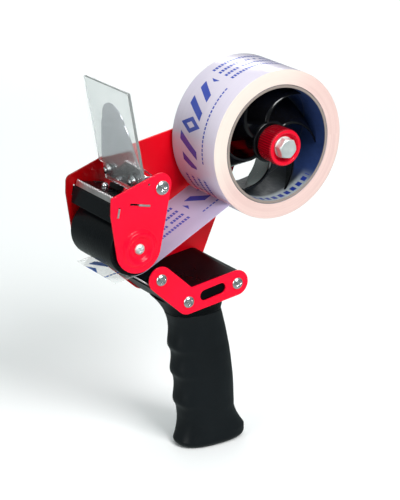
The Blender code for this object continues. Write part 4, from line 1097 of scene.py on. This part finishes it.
def build_roller():
    half = INNER_Y - 2.2
    core = ROLLER_R - 5.7
    profile = rounded(
        line([(core, half), (ROLLER_R, half), (ROLLER_R, -half), (core, -half)]), 1.2, True, 6
    )
    mesh = lathe("sleeve", profile, ROLLER, 128, closed=True)
    piece("roller_tyre", mesh, "roller", "roller_sleeve", roller_rubber, sharp=60)
    inner, outer, bore, depth = 6.3, core - 0.3, 4.0, 6.0
    profile = line(
        [(inner, half), (outer, half), (outer, -half), (inner, -half), (inner, depth - half), (bore, depth - half)]
    )
    profile += line([(bore, half - depth), (inner, half - depth)])
    mesh = lathe("core", rounded(profile, 0.4, True, 3), ROLLER, 96, closed=True)
    piece("roller_drum", mesh, "roller", "roller_core", roller_core_black, sharp=50)
    for side, word in ((-1, "right"), (1, "left")):
        low, high = sorted((side * (half - depth + GAP), side * (INNER_Y - 2 * GAP)))
        profile = rounded(line([(3.3, high), (6.0, high), (6.0, low), (3.3, low)]), 0.4, True, 3)
        mesh = lathe(f"bush_{word}", profile, ROLLER, 64, closed=True)
        piece(f"bush_{word}", mesh, "roller", f"roller_bush_{word}", nylon, sharp=50)


build_roller()

# ---------------------------------------------------------------- spool

VANES = 6
SWEEP = math.radians(46.0)
TWIST = math.radians(60.0)
PHASE = math.radians(24.0)
BARREL = 14.0
VANE_FRONT = 16.0


def hub_ring(y, spin, thickness):
    tip = 37.6
    steps = 14
    points = []
    for k in range(VANES):
        root = spin + PHASE + 2 * math.pi * k / VANES
        radii = [BARREL + (tip - BARREL) * i / steps for i in range(steps + 1)]
        sweep = [root + SWEEP * ((r - BARREL) / (tip - BARREL)) ** 1.3 for r in radii]
        half = [thickness * 0.675 / r for r in radii]
        points += [(r, a - h) for r, a, h in zip(radii, sweep, half)]
        points += [(r, a + h) for r, a, h in reversed(list(zip(radii, sweep, half)))]
        points += [(BARREL, root + 2 * math.pi / VANES * s / 8) for s in range(1, 8)]
    return [Vector((SPINDLE.x + r * math.cos(a), SPINDLE.y + r * math.sin(a))) for r, a in points]


def build_spool():
    half = HALF_TAPE
    levels = 44
    bm = bmesh.new()
    rows, loops = [], []
    for i in range(levels + 1):
        y = -half + (VANE_FRONT + half) * i / levels
        near = max(0.0, (y - (VANE_FRONT - 1.3)) / 1.3)
        thickness = 2.2 * math.sqrt(max(0.06, 1 - near * near))
        loop = hub_ring(y, TWIST * (y + half) / (VANE_FRONT + half), thickness)
        loops.append(loop)
        rows.append([bm.verts.new(side_place(p.x, p.y, y)) for p in loop])
    bore = circle(SPINDLE, 4.2, 48)
    bores = [[bm.verts.new(side_place(p.x, p.y, y)) for p in bore] for y in (-half, VANE_FRONT)]
    for ring_set in (rows, bores):
        count = len(ring_set[0])
        for a, b in zip(ring_set, ring_set[1:]):
            for i in range(count):
                j = (i + 1) % count
                bm.faces.new((a[i], a[j], b[j], b[i]))
    for loop, row, hole in ((loops[0], rows[0], bores[0]), (loops[-1], rows[-1], bores[1])):
        flat = loop + bore
        edges = [(i, (i + 1) % len(loop)) for i in range(len(loop))]
        edges += [(len(loop) + i, len(loop) + (i + 1) % len(bore)) for i in range(len(bore))]
        verts, _, faces, origins, _, _ = delaunay_2d_cdt(flat, edges, [], 0, 1e-6)
        real = [(row + hole)[s[0]] for s in origins]
        for face in faces:
            mid = sum((verts[i] for i in face), Vector((0, 0))) / 3
            if inside(mid, loop) and not inside(mid, bore):
                bm.faces.new([real[i] for i in face])
    piece("hub_vanes", to_mesh(bm, "vanes"), "spool", "hub", hub_black, sharp=50)
    profile = rounded(line([(10.5, 17.2), (13.8, 17.2), (13.8, 12.0), (10.5, 12.0)]), 0.8, True, 5)
    mesh = lathe("nose", profile, SPINDLE, 96, closed=True)
    piece("hub_nose", mesh, "spool", "hub", hub_black, sharp=60)

    profile = rounded(line([(38.0, half), (39.8, half), (39.8, -half), (38.0, -half)]), 0.3, True, 3)
    mesh = lathe("card", profile, SPINDLE, 160, closed=True)
    piece("core_tube", mesh, "spool", "tape_core", card, sharp=50)
    profile = rounded(line([(40.1, half), (ROLL_R, half), (ROLL_R, -half), (40.1, -half)]), 0.35, True, 4)
    mesh = lathe("roll", profile, SPINDLE, 220, closed=True)
    roll = piece("wound_tape", mesh, "spool", "tape_roll", [film_roll, roll_side], sharp=50)
    for face in roll.data.polygons:
        face.material_index = 1 if abs(face.normal.y) > 0.5 else 0


build_spool()

# ---------------------------------------------------------------- brake and knob


def hex_piece(name, low, high, corner, turn, chamfer_top, chamfer_low, bore, body, node, finish):
    """A hexagon along Y with turned chamfers at its ends, and a bore if one is given."""
    sides = 192
    flat = corner * math.cos(math.pi / 6)
    levels = []
    for y, limit in (
        [(low, flat - 0.3), (low + chamfer_low, corner)] if chamfer_low else [(low, corner)]
    ) + ([(high - chamfer_top, corner), (high, flat - 0.3)] if chamfer_top else [(high, corner)]):
        levels.append((y, limit))
    fine = []
    for (y0, l0), (y1, l1) in zip(levels, levels[1:]):
        steps = 6 if abs(l0 - l1) > 1e-6 else 1
        fine += [(y0 + (y1 - y0) * k / steps, l0 + (l1 - l0) * k / steps) for k in range(steps)]
    fine.append(levels[-1])
    bm = bmesh.new()
    rows = []
    for y, limit in fine:
        ring = []
        for i in range(sides):
            a = 2 * math.pi * i / sides
            part = ((a - turn) % (math.pi / 3)) - math.pi / 6
            r = min(flat / math.cos(part), limit)
            p = polar(SPINDLE, r, a)
            ring.append(bm.verts.new(side_place(p.x, p.y, y)))
        rows.append(ring)
    ends = []
    for y in (fine[0][0], fine[-1][0]):
        if bore:
            ends.append([bm.verts.new(side_place(*polar(SPINDLE, bore, 2 * math.pi * i / sides), y)) for i in range(sides)])
        else:
            ends.append([bm.verts.new(side_place(SPINDLE.x, SPINDLE.y, y))])
    if bore:
        chain = [ends[0]] + rows + [ends[1]]
        pairs = list(zip(chain, chain[1:])) + [(ends[1], ends[0])]
    else:
        chain = [ends[0]] + rows + [ends[1]]
        pairs = list(zip(chain, chain[1:]))
    for a, b in pairs:
        for i in range(sides):
            j = (i + 1) % sides
            if len(a) == 1:
                bm.faces.new((a[0], b[i], b[j]))
            elif len(b) == 1:
                bm.faces.new((a[j], a[i], b[0]))
            else:
                bm.faces.new((a[i], a[j], b[j], b[i]))
    return piece(name, to_mesh(bm, name), body, node, finish, sharp=20)


def build_brake():
    profile = rounded(line([(4.2, -25.3), (12.0, -25.3), (12.0, -27.2), (4.2, -27.2)]), 0.3, True, 3)
    mesh = lathe("disc", profile, SPINDLE, 96, closed=True)
    piece("friction_disc", mesh, "frame", "brake_disc", fibre, sharp=50)
    profile = rounded(line([(4.2, 18.5), (10.0, 18.5), (10.0, 17.3), (4.2, 17.3)]), 0.3, True, 3)
    mesh = lathe("thrust", profile, SPINDLE, 96, closed=True)
    piece("washer_thrust", mesh, "thrust_stack", "thrust_washer", zinc, sharp=50)
    start, wire = 10.0, 0.7
    length = 17.3 - GAP - wire - start
    points = coil(Vector((SPINDLE.x, start, SPINDLE.y)), Vector((0, 1, 0)), Vector((1, 0, 0)), (7.4, 7.4), length, 3.5)
    wire_piece("spring_brake", points, wire, "spool", "brake_spring", spring_steel)

    floor, front, radius, rim, rear = 30.1, 34.0, 12.5, 1.5, 18.8
    profile = line(
        [
            (4.2, floor),
            (8.3, floor),
            (9.5, front - 0.8),
            (radius - rim - 0.8, front),
            (radius - rim * 0.4, front - 0.4),
            (radius, front - rim),
            (radius - 0.4, rear),
            (4.2, rear),
        ]
    )
    mesh = lathe("knob", rounded(profile, 0.9, True, 6), SPINDLE, 128, closed=True)
    piece("knob", mesh, "tension_adjuster", "tension_knob", knob_red, sharp=60)
    top = floor + GAP + 1.2
    profile = rounded(line([(4.2, top), (7.1, top), (7.1, floor + GAP), (4.2, floor + GAP)]), 0.25, True, 3)
    mesh = lathe("washer", profile, SPINDLE, 96, closed=True)
    piece("washer_knob", mesh, "tension_adjuster", "knob_washer", zinc, sharp=50)
    seat = top + GAP
    corner = 6.0 / math.cos(math.pi / 6)
    hex_piece(
        "bolt_head", seat, seat + 5.0, corner, math.radians(12), 0.9, 0.0, None,
        "tension_adjuster", "spindle_bolt", zinc,
    )
    end = -OUTER_Y - 9.0
    profile = [Vector((0, seat)), Vector((3.9, seat))]
    y = -22.0
    while y > end + 1.6:
        profile += line([(3.9, y), (3.9, y - 0.25), (3.35, y - 0.62), (3.9, y - 1.0)])
        y -= 1.25
    profile += line([(3.9, end + 0.8), (3.1, end), (0, end)])
    mesh = lathe("shank", profile, SPINDLE, 64)
    piece("bolt_shank", mesh, "tension_adjuster", "spindle_bolt", zinc, sharp=30)
    nut = -OUTER_Y - GAP
    hex_piece(
        "nut", nut - 6.0, nut, 7.5, 0.0, 0.7, 0.7, 4.2, "frame", "spindle_nut", zinc
    )


build_brake()

# ---------------------------------------------------------------- free tape


def build_strip():
    thick = 0.25
    radius = ROLLER_R + GAP + thick / 2
    drop = math.radians(7.6)
    start = polar(SPINDLE, ROLL_R + GAP + thick, math.radians(-43.0))
    to_axis = ROLLER - start
    bearing = math.atan2(to_axis.y, to_axis.x) - math.asin(radius / to_axis.length)
    under = arc(ROLLER, radius, bearing - math.pi / 2, -drop - math.pi / 2, 12)
    along = Vector((math.cos(drop), -math.sin(drop)))
    web = [start.lerp(under[0], k / 40) for k in range(40)]
    tail = [under[-1] + along * 17.8 * k / 12 for k in range(1, 13)]
    path = web + under + tail
    normals = []
    for i in range(len(path)):
        step = (path[min(i + 1, len(path) - 1)] - path[max(i - 1, 0)]).normalized()
        normals.append(Vector((-step.y, step.x)) * thick / 2)
    outline = [p - n for p, n in zip(path, normals)] + [p + n for p, n in reversed(list(zip(path, normals)))]
    rings = []
    reach = HALF_TAPE - 0.5
    for k in range(33):
        y = -reach + 2 * reach * k / 32
        rings.append([(p.x, y, p.y) for p in outline])
    mesh = loft("strip", rings)
    piece("tape_run", mesh, "frame", "tape_strip", film_strip, sharp=50)


build_strip()

# ---------------------------------------------------------------- stage, light and camera


def soft_light(name, place, target, size, power, color=(1, 1, 1)):
    light = bpy.data.lights.new(name, "AREA")
    light.shape = "RECTANGLE"
    light.size, light.size_y = size
    light.energy = power
    light.color = color
    obj = bpy.data.objects.new(name, light)
    bpy.context.scene.collection.objects.link(obj)
    obj.location = place
    obj.rotation_euler = (Vector(target) - Vector(place)).to_track_quat("-Z", "Y").to_euler()
    return obj


def build_stage():
    bm = bmesh.new()
    bmesh.ops.create_grid(bm, x_segments=2, y_segments=2, size=14.0)
    mesh = bpy.data.meshes.new("floor")
    bm.to_mesh(mesh)
    bm.free()
    floor = bpy.data.objects.new("floor", mesh)
    floor.location = (0, 0, -0.0002)
    bpy.context.scene.collection.objects.link(floor)
    f = Finish("floor_paper", Base_Color=(0.93, 0.93, 0.93), Roughness=0.9)
    f.shader.inputs["Specular IOR Level"].default_value = 0.1
    mesh.materials.append(f.material)

    floor.visible_glossy = False

    world = bpy.data.worlds.new("studio")
    bpy.context.scene.world = world
    world.use_nodes = True
    nodes, links = world.node_tree.nodes, world.node_tree.links
    back = nodes["Background"]
    split = nodes.new("ShaderNodeSeparateXYZ")
    links.new(nodes.new("ShaderNodeTexCoord").outputs["Generated"], split.inputs[0])
    ramp = nodes.new("ShaderNodeMapRange")
    links.new(split.outputs["Z"], ramp.inputs["Value"])
    for name, value in (("From Min", 0.0), ("From Max", 0.8), ("To Min", 0.17), ("To Max", 0.44)):
        ramp.inputs[name].default_value = value
    height = nodes.new("ShaderNodeMath")
    height.operation = "ABSOLUTE"
    links.new(split.outputs["Z"], height.inputs[0])
    links.new(height.outputs[0], ramp.inputs["Value"])
    tint = nodes.new("ShaderNodeCombineColor")
    for socket, share in zip(tint.inputs, (0.87, 1.0, 0.99)):
        scaled = nodes.new("ShaderNodeMath")
        scaled.operation = "MULTIPLY"
        scaled.inputs[1].default_value = share
        links.new(ramp.outputs[0], scaled.inputs[0])
        links.new(scaled.outputs[0], socket)
    links.new(tint.outputs[0], back.inputs["Color"])
    back.inputs["Strength"].default_value = 1.0
    aim = (0.01, 0.0, 0.14)
    soft_light("key", (-0.05, 1.35, 1.25), aim, (0.8, 0.8), 29.0)
    soft_light("top", (0.05, -0.10, 1.55), aim, (1.3, 1.3), 7.5)
    soft_light("side", (1.35, 0.35, 0.55), aim, (0.5, 1.0), 5.5)
    soft_light("backdrop", (-0.9, -1.4, 0.9), (-0.9, -1.4, 0.0), (0.8, 0.8), 8.0)


def build_camera():
    yaw, pitch = math.radians(33.2238), math.radians(19.8409)
    to_camera = Vector(
        (math.cos(pitch) * math.sin(yaw), math.cos(pitch) * math.cos(yaw), math.sin(pitch))
    )
    data = bpy.data.cameras.new("camera")
    data.lens = 148.97
    data.sensor_width = 36.0
    data.clip_start, data.clip_end = 0.05, 60.0
    camera = bpy.data.objects.new("camera", data)
    bpy.context.scene.collection.objects.link(camera)
    camera.location = (0.71248, 1.07788, 0.60272)
    camera.rotation_mode = "QUATERNION"
    camera.rotation_quaternion = (-to_camera).to_track_quat("-Z", "Y")
    bpy.context.scene.camera = camera


build_stage()
build_camera()
bpy.context.scene.view_settings.view_transform = "Standard"
